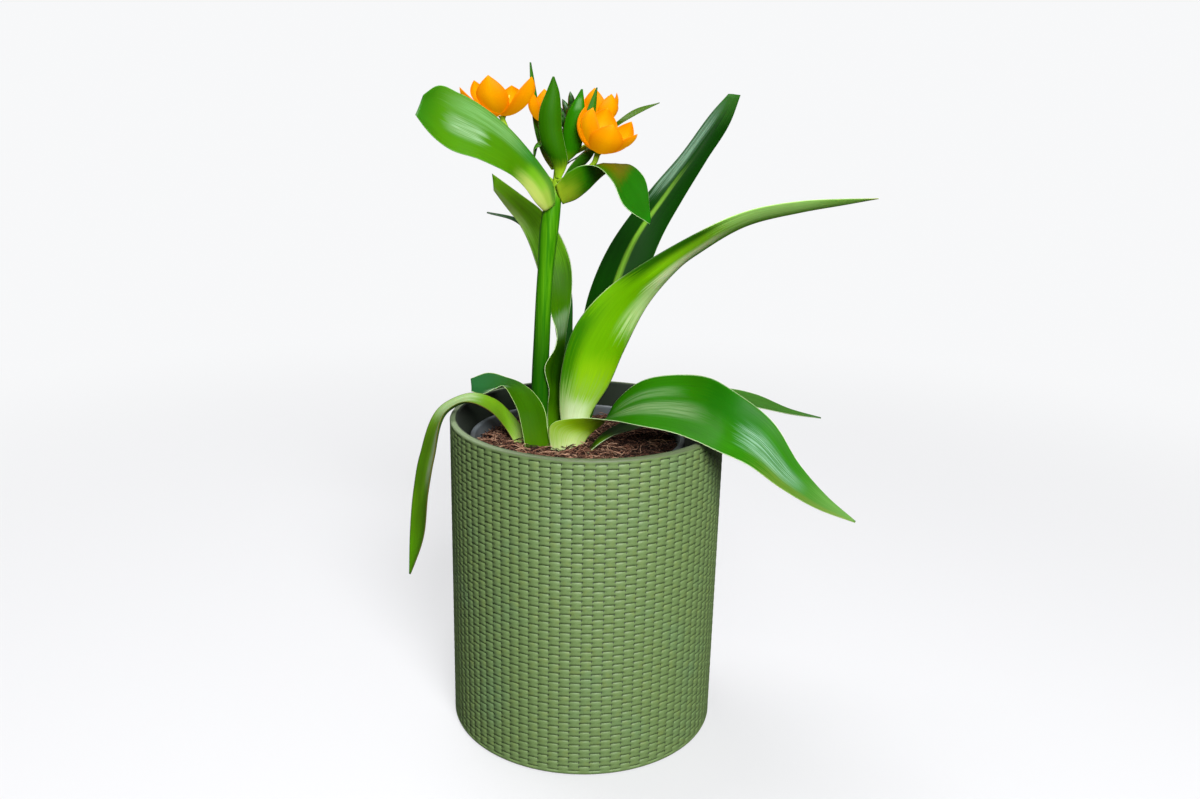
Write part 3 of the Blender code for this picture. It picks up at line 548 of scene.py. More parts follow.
nursery = {
    "x": -5.0, "top": 163.5, "bottom": 5.3,
    "lipRadius": 58.5, "lipHeight": 7.0, "lip": 2.4, "flare": 0.8,
    "baseRadius": 46.0, "wall": 1.4,
    "holes": 4, "holeRadius": 5.0, "holeCircle": 30.0, "drill": (2.0, 10.0),
    "segments": 128, "holeSegments": 24, "sharpFrom": 50,      # degrees
    "skin": {
        "colors": ("#555C60", "#6A5A4C"), "roughness": 0.42,
        "grain": (60.0, 4.0), "spread": (0.5, 0.8, 0.0, 0.35), "relief": (1200.0, 2.0, 0.04, 0.4),
    },
}


def makeNurseryPot():
    lip, wall = nursery["lipRadius"], nursery["wall"]
    body, foot = lip - nursery["lip"], nursery["baseRadius"]
    top, bottom = nursery["top"], nursery["bottom"]
    neck, mouth = top - nursery["lipHeight"], body - wall + nursery["flare"]
    profile = [
        (0.0, bottom), (foot - 1.5, bottom), (foot - 0.4, bottom + 0.4), (foot, bottom + 1.5),
        (foot + (body - foot) * 0.5, bottom + (neck - bottom) * 0.5), (body, neck - 0.7),
        (body + 0.7, neck - 0.3), (lip - 0.6, neck - 0.1), (lip, neck + 0.5),
        (lip, top - 1.1), (lip - 0.3, top - 0.3), (lip - 1.0, top),
        (mouth + 0.6, top), (mouth + 0.1, top - 0.4), (mouth - 0.1, top - 1.4),
        (body - wall, neck), (foot - wall + 1.0, bottom + wall + 12.0),
        (foot - wall, bottom + wall), (0.0, bottom + wall),
    ]
    mesh = turnedMesh("nurseryPot", profile, nursery["segments"], (nursery["x"], 0.0))
    piece = newPiece("nurseryPot", mesh)
    low, high = nursery["drill"]
    rings = [(0.0, low), (nursery["holeRadius"], low), (nursery["holeRadius"], high), (0.0, high)]
    for index in range(nursery["holes"]):
        angle = 2 * math.pi * (index + 0.5) / nursery["holes"]
        x = nursery["x"] + nursery["holeCircle"] * math.cos(angle)
        y = nursery["holeCircle"] * math.sin(angle)
        drill = newPiece("drill", turnedMesh("drill", rings, nursery["holeSegments"], (x, y)))
        cut = piece.modifiers.new("hole", "BOOLEAN")
        cut.object = drill
        bake(piece)
        bpy.data.objects.remove(drill)
    piece.data.materials.clear()
    piece.data.materials.append(mottledMaterial("nurseryPlastic", nursery["skin"]))
    piece.data.shade_smooth()
    piece.data.set_sharp_from_angle(angle=math.radians(nursery["sharpFrom"]))
    settle(piece, "nursery_pot", "nursery_pot")


# Soil: an uneven bed with coir fibres and crumbs of bark on it

soilBed = {
    "top": 156.5, "bottom": 7.4,
    "rings": 64, "segments": 192,
    "radiusTop": 54.3, "radiusLow": 43.6,
    "waves": [(0.8, 0.31, 0.27, 0.8, 1.6), (0.5, 0.53, 0.71, 0.0, 0.0), (0.3, 1.13, 0.97, 2.0, 1.9)],
    "crumbs": 1.5, "crumbRate": 0.34,              # height of the finer lumps, and how close they are
    "dark": "#2B1812", "warm": "#845A46", "pale": "#C09A7E",
    "damp": (0.25, 0.22, 0.2, 1.0),                # what the colours are multiplied by in the painted shade
    "soilShadeFrom": 0.0, "soilShadeTo": 40.0, "deepestShade": 0.6,
    "bedTone": -0.12,                              # the loose pieces have tones of their own
    "crumbSlice": 3.1, "crumbLayers": (0.6, 2.2, 4),               # where the noise is cut, and its layers
    "roughness": 0.9, "shine": 0.25,
    "warmGrain": (420.0, 4.0, 0.65), "warmSpread": (0.45, 0.95),
    "paleGrain": (150.0, 3.0), "paleSpread": (0.86, 1.2),
    "relief": (900.0, 4.0, 0.5, 0.8),
}
coir = {
    "Count": 4000, "Seed": 4, "Tilt": 0.5,
    "Smallest": 4.0 * mm, "Largest": 18.0 * mm, "Thickness": 0.27 * mm,
}
bark = {"Count": 520, "Seed": 9, "Tilt": 0.6, "Smallest": 0.8 * mm, "Largest": 3.0 * mm}


def soilHeight(x, y):
    height = soilBed["top"]
    for lump, rateX, rateY, shiftX, shiftY in soilBed["waves"]:
        height += lump * math.sin(rateX * x + shiftX) * math.sin(rateY * y + shiftY)
    rate = soilBed["crumbRate"]
    place = Vector((x * rate, y * rate, soilBed["crumbSlice"]))
    return height + soilBed["crumbs"] * noise.fractal(place, *soilBed["crumbLayers"])


def soilMaterial(name, tone=None):
    look = soilBed
    settings = {"Roughness": look["roughness"], "Specular IOR Level": look["shine"]}
    material, tree, shader = newMaterial(name, settings)
    if tone is None:
        tone = addNode(tree, "ShaderNodeAttribute", attribute_name="tone").outputs["Fac"]
    place = objectPlace(tree)
    # dark crumbs, warm fibres and a few pale ones
    color = look["dark"]
    for tint in ("warm", "pale"):
        share = mathNode(tree, "ADD", noiseNode(tree, place, *look[tint + "Grain"]), tone)
        color = mixColor(tree, stretch(tree, share, *look[tint + "Spread"]), color, look[tint])
    # painted shade: darker towards the right, under the drooping leaf on the right
    reach = splitXyz(tree, place)[0]
    damp = stretch(tree, reach, look["soilShadeFrom"] * mm, look["soilShadeTo"] * mm, 0.0, look["deepestShade"])
    shadedColor = mixColor(tree, 1.0, color, look["damp"], "MULTIPLY")
    feed(tree, shader.inputs, {"Base Color": mixColor(tree, damp, color, shadedColor)})
    addRelief(tree, shader, place, look["relief"])
    return material


def bedMesh():
    segments, rings = soilBed["segments"], soilBed["rings"]
    points = []
    for ring in range(rings + 2):                  # the last ring is the foot
        radius = soilBed["radiusTop"] * ring / rings if ring <= rings else soilBed["radiusLow"]
        for step in range(segments if ring else 1):
            angle = 2 * math.pi * step / segments
            x, y = nursery["x"] + radius * math.cos(angle), radius * math.sin(angle)
            z = soilHeight(x, y) if ring <= rings else soilBed["bottom"]
            points.append((x * mm, y * mm, z * mm))
    faces = [(0, 1 + step, 1 + (step + 1) % segments) for step in range(segments)]
    for ring in range(1, rings + 1):
        low, high = 1 + (ring - 1) * segments, 1 + ring * segments
        for step in range(segments):
            ahead = (step + 1) % segments
            faces.append((low + step, high + step, high + ahead, low + ahead))
    faces.append([high + step for step in reversed(range(segments))])
    return smoothMesh("soilBed", points, faces)


def scatterTree(name, values, material, makeShapes):
    # shapes scattered over the upward faces of the soil, each with its own turn, size and tone
    inputs = {"Geometry": None, **values}
    tree, given, result = newGroup(name, "GeometryNodeTree", inputs, {"Geometry": None})
    calc = partial(mathNode, tree)

    def draw(low, high, shift, kind="FLOAT"):
        # a vector's limits are the node's sockets 0 and 1, a number's are 2 and 3
        first, output = (0, 0) if kind == "FLOAT_VECTOR" else (2, 1)
        feeds = {first: low, first + 1: high, "Seed": calc("ADD", given["Seed"], shift)}
        return addNode(tree, "FunctionNodeRandomValue", feeds, data_type=kind).outputs[output]

    normal = splitXyz(tree, addNode(tree, "GeometryNodeInputNormal").outputs[0])
    bedArea = math.pi * (soilBed["radiusTop"] * mm) ** 2
    scatter = addNode(tree, "GeometryNodeDistributePointsOnFaces", {
        "Mesh": given["Geometry"], "Selection": calc("GREATER_THAN", normal[2], 0.3),
        "Density": calc("DIVIDE", given["Count"], bedArea), "Seed": given["Seed"],
    })
    tilt, back = given["Tilt"], calc("MULTIPLY", given["Tilt"], -1.0)
    lowest, highest = joinXyz(tree, back, back, 0.0), joinXyz(tree, tilt, tilt, 2 * math.pi)
    put = addNode(tree, "GeometryNodeInstanceOnPoints", {
        "Points": scatter.outputs["Points"], "Instance": makeShapes(tree, given), "Pick Instance": True,
        "Rotation": draw(lowest, highest, 1, "FLOAT_VECTOR"),
        "Scale": draw(given["Smallest"], given["Largest"], 2),
    })
    feeds = {"Geometry": put.outputs[0], "Name": "tone", "Value": draw(-0.25, 0.65, 3)}
    tone = addNode(tree, "GeometryNodeStoreNamedAttribute", feeds, data_type="FLOAT", domain="INSTANCE")
    return finishTree(tree, tone.outputs[0], material, result)


def fibreShapes(tree, given):
    # six bent hairs of unit length, each a three-sided tube
    joined = addNode(tree, "GeometryNodeGeometryToInstance")
    radius = mathNode(tree, "DIVIDE", given["Thickness"], given["Largest"])
    for index in range(6):
        side, lean = math.cos(index * 2.4), math.sin(index * 2.4)
        bend = addNode(tree, "GeometryNodeCurvePrimitiveBezierSegment", {
            "Resolution": 5, "Start": (-0.5, 0.0, 0.0), "Start Handle": (-0.2, 0.34 * side, 0.10),
            "End Handle": (0.2, 0.38 * lean, 0.12), "End": (0.5, 0.16 * side * lean, -0.03),
        })
        ring = addNode(tree, "GeometryNodeCurvePrimitiveCircle", {"Resolution": 3, "Radius": radius})
        feeds = {"Curve": bend.outputs[0], "Profile Curve": ring.outputs[0], "Fill Caps": True}
        feed(tree, joined.inputs, {0: addNode(tree, "GeometryNodeCurveToMesh", feeds).outputs[0]})
    return joined.outputs[0]


def barkShapes(tree, given):
    # four crushed lumps of unit size
    joined = addNode(tree, "GeometryNodeGeometryToInstance")
    crush = 0.22
    for index in range(4):
        lump = addNode(tree, "GeometryNodeMeshIcoSphere", {"Radius": 0.5, "Subdivisions": 1})
        feeds = {0: (-crush, -crush, -crush), 1: (crush, crush, crush), "Seed": 20 + index}
        shift = addNode(tree, "FunctionNodeRandomValue", feeds, data_type="FLOAT_VECTOR")
        feeds = {"Geometry": lump.outputs["Mesh"], "Offset": shift.outputs[0]}
        crushed = addNode(tree, "GeometryNodeSetPosition", feeds)
        feeds = {"Geometry": crushed.outputs[0], "Scale": (1.3, 0.7 + 0.1 * index, 0.42)}
        feed(tree, joined.inputs, {0: addNode(tree, "GeometryNodeTransform", feeds).outputs[0]})
    return joined.outputs[0]


def makeSoil():
    bed = newPiece("soilBed", bedMesh(), soilMaterial("soilCrumbs", soilBed["bedTone"]))
    loose = soilMaterial("soilFibres")
    fibres = grow("coirFibres", scatterTree("coirFibres", coir, loose, fibreShapes), coir, bed.data.copy())
    crumbs = grow("barkCrumbs", scatterTree("barkCrumbs", bark, loose, barkShapes), bark, bed.data.copy())
    for piece in (bed, fibres, crumbs):
        settle(piece, "soil", "soil")


# Blades: leaves, bracts and petals are thin lens-shaped sheets over rows of middle points and half widths

bladeForm = {
    "crowd": 0.45,                 # how far the columns draw towards the margins
    "margin": 0.22, "swell": 0.6,  # thickness at the margin, and how soon it grows from there
    "slim": 3.0, "slimmest": 0.25,     # under this half width a blade gets thinner, down to this share
    "keelRound": 0.004,
}


def bladeMesh(name, rows, columns, channel, thickness, keel=0.0):
    # channel is one depth, or depths at places along; keel is 0 for a round channel and 1 for a folded one
    spans = channel if isinstance(channel, list) else [(0.0, channel)]
    middles, halves = rows[:, :3], rows[:, 3:6]
    hollow = np.cross(np.gradient(middles, axis=0), halves)
    hollow /= np.linalg.norm(hollow, axis=1)[:, None]
    length = np.linalg.norm(np.diff(middles, axis=0), axis=1).sum()
    count = len(rows)
    v = np.linspace(0.0, 1.0, count)
    crowd = bladeForm["crowd"]
    u = crowd * np.sin(np.linspace(-math.pi / 2, math.pi / 2, columns + 1))
    u += (1 - crowd) * np.linspace(-1.0, 1.0, columns + 1)
    width = np.linalg.norm(halves, axis=1)
    depth = np.interp(v, [place for place, _ in spans], [value for _, value in spans])
    sag = (1 - keel) * (1 - u**2) + keel * (1 - np.sqrt(u**2 + bladeForm["keelRound"]))
    place = middles[:, None, :] + u[None, :, None] * halves[:, None, :]
    place += (sag[None, :] * (depth * width)[:, None])[:, :, None] * hollow[:, None, :]
    normal = np.cross(np.gradient(place, axis=0), np.gradient(place, axis=1))
    normal /= np.linalg.norm(normal, axis=2)[:, :, None] + 1e-12
    margin, least = bladeForm["margin"], bladeForm["slimmest"]
    thick = 0.5 * (margin + (thickness - margin) * (1 - u**2) ** bladeForm["swell"])
    thick = thick[None, :] * np.minimum(1.0, least + (1 - least) * width / bladeForm["slim"])[:, None]
    rise = thick[:, :, None] * normal
    points = np.concatenate([place + rise, place - rise]).reshape(-1, 3) * mm
    faces, marks = [], []

    def addFace(corners, shift=0):
        # a corner is its row, its column and its side; shift tells the rear side's marks from the front's
        faces.append([(side * count + row) * (columns + 1) + column for row, column, side in corners])
        marks.extend((shift + (u[column] + 1) / 2, v[row]) for row, column, _ in corners)

    for row in range(count - 1):
        for column in range(columns):
            a, b, c, d = (row, column), (row, column + 1), (row + 1, column + 1), (row + 1, column)
            addFace([(*corner, 0) for corner in (a, d, c, b)])
            addFace([(*corner, 1) for corner in (a, b, c, d)], 2)
    for row in range(count - 1):
        for column, order in ((0, 1), (columns, -1)):
            strip = [(row, column, 0), (row, column, 1), (row + 1, column, 1), (row + 1, column, 0)]
            addFace(strip[::order])
    for column in range(columns):
        for row, order in ((0, -1), (count - 1, 1)):
            strip = [(row, column, 0), (row, column, 1), (row, column + 1, 1), (row, column + 1, 0)]
            addFace(strip[::order])
    mesh = smoothMesh(name, points, faces)
    mesh.uv_layers.new(name="blade").data.foreach_set("uv", [number for mark in marks for number in mark])
    return mesh, length


def fixFacing(mesh):
    # an outward face for each blade, whichever way its rows run
    shape = bmesh.new()
    shape.from_mesh(mesh)
    bmesh.ops.recalc_face_normals(shape, faces=shape.faces)
    shape.to_mesh(mesh)
    shape.free()
    mesh.shade_smooth()
    return mesh


def bladePlace(tree):
    # across runs from 0 to 1 between the margins on both sides, along from the foot to the tip
    across, along, _ = splitXyz(tree, addNode(tree, "ShaderNodeUVMap", uv_map="blade").outputs[0])
    isBack = mathNode(tree, "GREATER_THAN", across, 1.5)
    across = mathNode(tree, "SUBTRACT", across, mathNode(tree, "MULTIPLY", isBack, 2.0))
    return across, along, isBack


# What a look doesn't name: its colours are then the front's, and its numbers are these

leafColors = ("foot", "front", "back", "tip", "rib", "edge")
leafValues = {
    "footReach": 0.15, "tipStart": 0.9, "ribPlace": 0.5, "ribWidth": 0.1, "ribStrength": 0.0,
    "edgeWidth": 0.03, "veins": 34.0, "veinStrength": 0.35, "gloss": 0.40,
}
leafBody = {
    "shine": 0.10, "glow": 0.05, "glowDepth": 2.0, "relief": 0.12, "reliefStrength": 0.6, "grain": 30.0,
}
leafFace = {
    "veinNoise": (1.0, 3.0, 0.6),      # scale, detail and roughness
    "cloudRates": (3.0, 0.6),          # how often clouds come across a blade and along it
    "cloudLight": 0.35, "cloudGloss": 0.25,
    "ragged": 0.12,                    # how far the streaks pull a colour along the blade
    "footFull": 0.25, "edgeFull": 0.3,     # shares of the foot's reach and the edge's width in full colour
    "patchFull": 0.25, "patchRagged": 0.5, "patchFade": 0.3, "patchLines": (0.42, 0.6),
}
patchValues = ("place", "width", "start", "end", "broken", "strength")


def leafSkinGroup():
    inputs = {socketName(part + "Color"): "#FFFFFF" for part in leafColors}
    inputs |= {socketName(part): value for part, value in leafValues.items()}
    inputs |= {"Length": 5.0, "Seed": 0.0}
    outputs = {"Color": "#FFFFFF", "Roughness": 0.0, "Streaks": 0.0, "Across": 0.0, "Along": 0.0}
    tree, given, result = newGroup("leafSkin", "ShaderNodeTree", inputs, outputs)
    calc = partial(mathNode, tree)
    across, along, isBack = bladePlace(tree)
    lengthwise = calc("MULTIPLY", along, given["Length"])
    fibre = joinXyz(tree, calc("MULTIPLY", across, given["Veins"]), lengthwise, given["Seed"])
    streaks = noiseNode(tree, fibre, *leafFace["veinNoise"])
    broad = [calc("MULTIPLY", *pair) for pair in zip((across, lengthwise), leafFace["cloudRates"])]
    clouds = noiseNode(tree, joinXyz(tree, *broad, given["Seed"]), 1.0)
    # colour along the blade
    reach = calc("ADD", along, swing(tree, streaks, leafFace["ragged"]))
    face = mixColor(tree, isBack, given["Front Color"], given["Back Color"])
    face = mixColor(tree, stretch(tree, reach, given["Tip Start"], 1.0), face, given["Tip Color"])
    nearFoot = stretch(tree, calc("DIVIDE", reach, given["Foot Reach"]), leafFace["footFull"], 1.0, 1.0, 0.0)
    face = mixColor(tree, nearFoot, face, given["Foot Color"])
    # rib and margin
    fromRib = calc("DIVIDE", apart(tree, across, given["Rib Place"]), given["Rib Width"])
    rib = calc("MULTIPLY", stretch(tree, fromRib, 0.0, 1.0, 1.0, 0.0), given["Rib Strength"])
    face = mixColor(tree, rib, face, given["Rib Color"])
    fromEdge = calc("SUBTRACT", 0.5, apart(tree, across, 0.5))
    edge = stretch(tree, calc("DIVIDE", fromEdge, given["Edge Width"]), leafFace["edgeFull"], 1.0, 1.0, 0.0)
    face = mixColor(tree, edge, face, given["Edge Color"])
    # veins and clouds lighten and darken the face
    veins = swing(tree, streaks, given["Vein Strength"])
    gain = calc("ADD", veins, swing(tree, clouds, leafFace["cloudLight"]))
    gain = calc("ADD", 1.0, gain)
    feed(tree, result, {
        "Color": mixColor(tree, 1.0, face, joinXyz(tree, gain, gain, gain), "MULTIPLY"),
        "Roughness": calc("ADD", given["Gloss"], swing(tree, clouds, leafFace["cloudGloss"])),
        "Streaks": streaks, "Across": across, "Along": along,
    })
    return tree


def leafPatchGroup():
    # a soft patch of another colour, broken up by the streaks; it lays sheen, shade and stripes on a leaf
    inputs = {"Color": "#FFFFFF", "Patch Color": "#FFFFFF", "Across": 0.0, "Along": 0.0, "Streaks": 0.5}
    inputs |= {socketName(part): 0.5 for part in patchValues}
    tree, given, result = newGroup("leafPatch", "ShaderNodeTree", inputs, {"Color": "#FFFFFF"})
    calc = partial(mathNode, tree)
    shift = calc("DIVIDE", apart(tree, given["Across"], given["Place"]), given["Width"])
    mask = stretch(tree, shift, leafFace["patchFull"], 1.0, 1.0, 0.0)
    span = calc("SUBTRACT", given["End"], given["Start"])
    share = calc("DIVIDE", calc("SUBTRACT", given["Along"], given["Start"]), span)
    share = calc("ADD", share, swing(tree, given["Streaks"], leafFace["patchRagged"]))
    fade = leafFace["patchFade"]
    comesIn, goesOut = stretch(tree, share, 0.0, fade), stretch(tree, share, 1.0 - fade, 1.0, 1.0, 0.0)
    unbroken = calc("SUBTRACT", 1.0, given["Broken"])
    lines = stretch(tree, given["Streaks"], *leafFace["patchLines"], unbroken, 1.0)
    for part in (comesIn, goesOut, lines, given["Strength"]):
        mask = calc("MULTIPLY", mask, part)
    feed(tree, result, {"Color": mixColor(tree, mask, given["Color"], given["Patch Color"])})
    return tree


leafSkin = leafSkinGroup()
leafPatch = leafPatchGroup()


def leafMaterial(name, look, length, seed):
    own = {**leafBody, **leafValues, **look}
    material, tree, shader = newMaterial(name, {
        "Specular IOR Level": own["shine"], "Subsurface Weight": own["glow"],
        "Subsurface Scale": own["glowDepth"] * mm,
    })
    values = {part + "Color": own.get(part, own["front"]) for part in leafColors}
    values |= {part: own[part] for part in leafValues}
    skin = useGroup(tree, leafSkin, length=length / own["grain"], seed=seed, **values)
    color = skin["Color"]
    for patchColor, *numbers in own.get("patches", []):
        color = useGroup(
            tree, leafPatch, color=color, patchColor=patchColor, across=skin["Across"], along=skin["Along"],
            streaks=skin["Streaks"], **dict(zip(patchValues, numbers)),
        )["Color"]
    feed(tree, shader.inputs, {"Base Color": color, "Roughness": skin["Roughness"]})
    addBump(tree, shader, skin["Streaks"], own["relief"], own["reliefStrength"])
    return material


bladeKinds = {
    "leaf": {"slot": "leaf", "rows": 97, "columns": 20, "thickness": 1.0},
    "broadBract": {"slot": "bract", "rows": 65, "columns": 18, "thickness": 0.9},
    "slimBract": {"slot": "bract", "rows": 41, "columns": 10, "thickness": 0.9},
}


def makeBlade(name, blade, kind, look, seed):
    form = bladeKinds[kind]
    rows = smoothPath(blade["stations"], form["rows"])
    keel = blade.get("keel", 0.0)
    mesh, length = bladeMesh(name, rows, form["columns"], blade["channel"], form["thickness"], keel)
    piece = newPiece(name + "_blade", fixFacing(mesh), leafMaterial(name + "Skin", look, length, seed))
    settle(piece, form["slot"], name)


# The bulb's top, where the feet of the leaves and of the stem draw in

bulbPlace = {"x": -14.0, "y": 12.0, "footZ": 134.0, "stemRise": 8.0, "drawIn": 0.72}


def drawnIn(x, y):
    share = bulbPlace["drawIn"]
    return bulbPlace["x"] + (x - bulbPlace["x"]) * share, bulbPlace["y"] + (y - bulbPlace["y"]) * share


def withFoot(stations):
    x, y, _, *half = stations[0]
    foot = (*drawnIn(x, y), bulbPlace["footZ"], *[part * bulbPlace["drawIn"] for part in half])
    return [foot] + list(stations)


# Leaves: how deep each one's channel is, stations as in the part's source (x, y and z of the middle, and the
# half width as a vector) and its own look. A patch is its colour, its place and width across, its start and
# end along, how broken up it is and how strong.

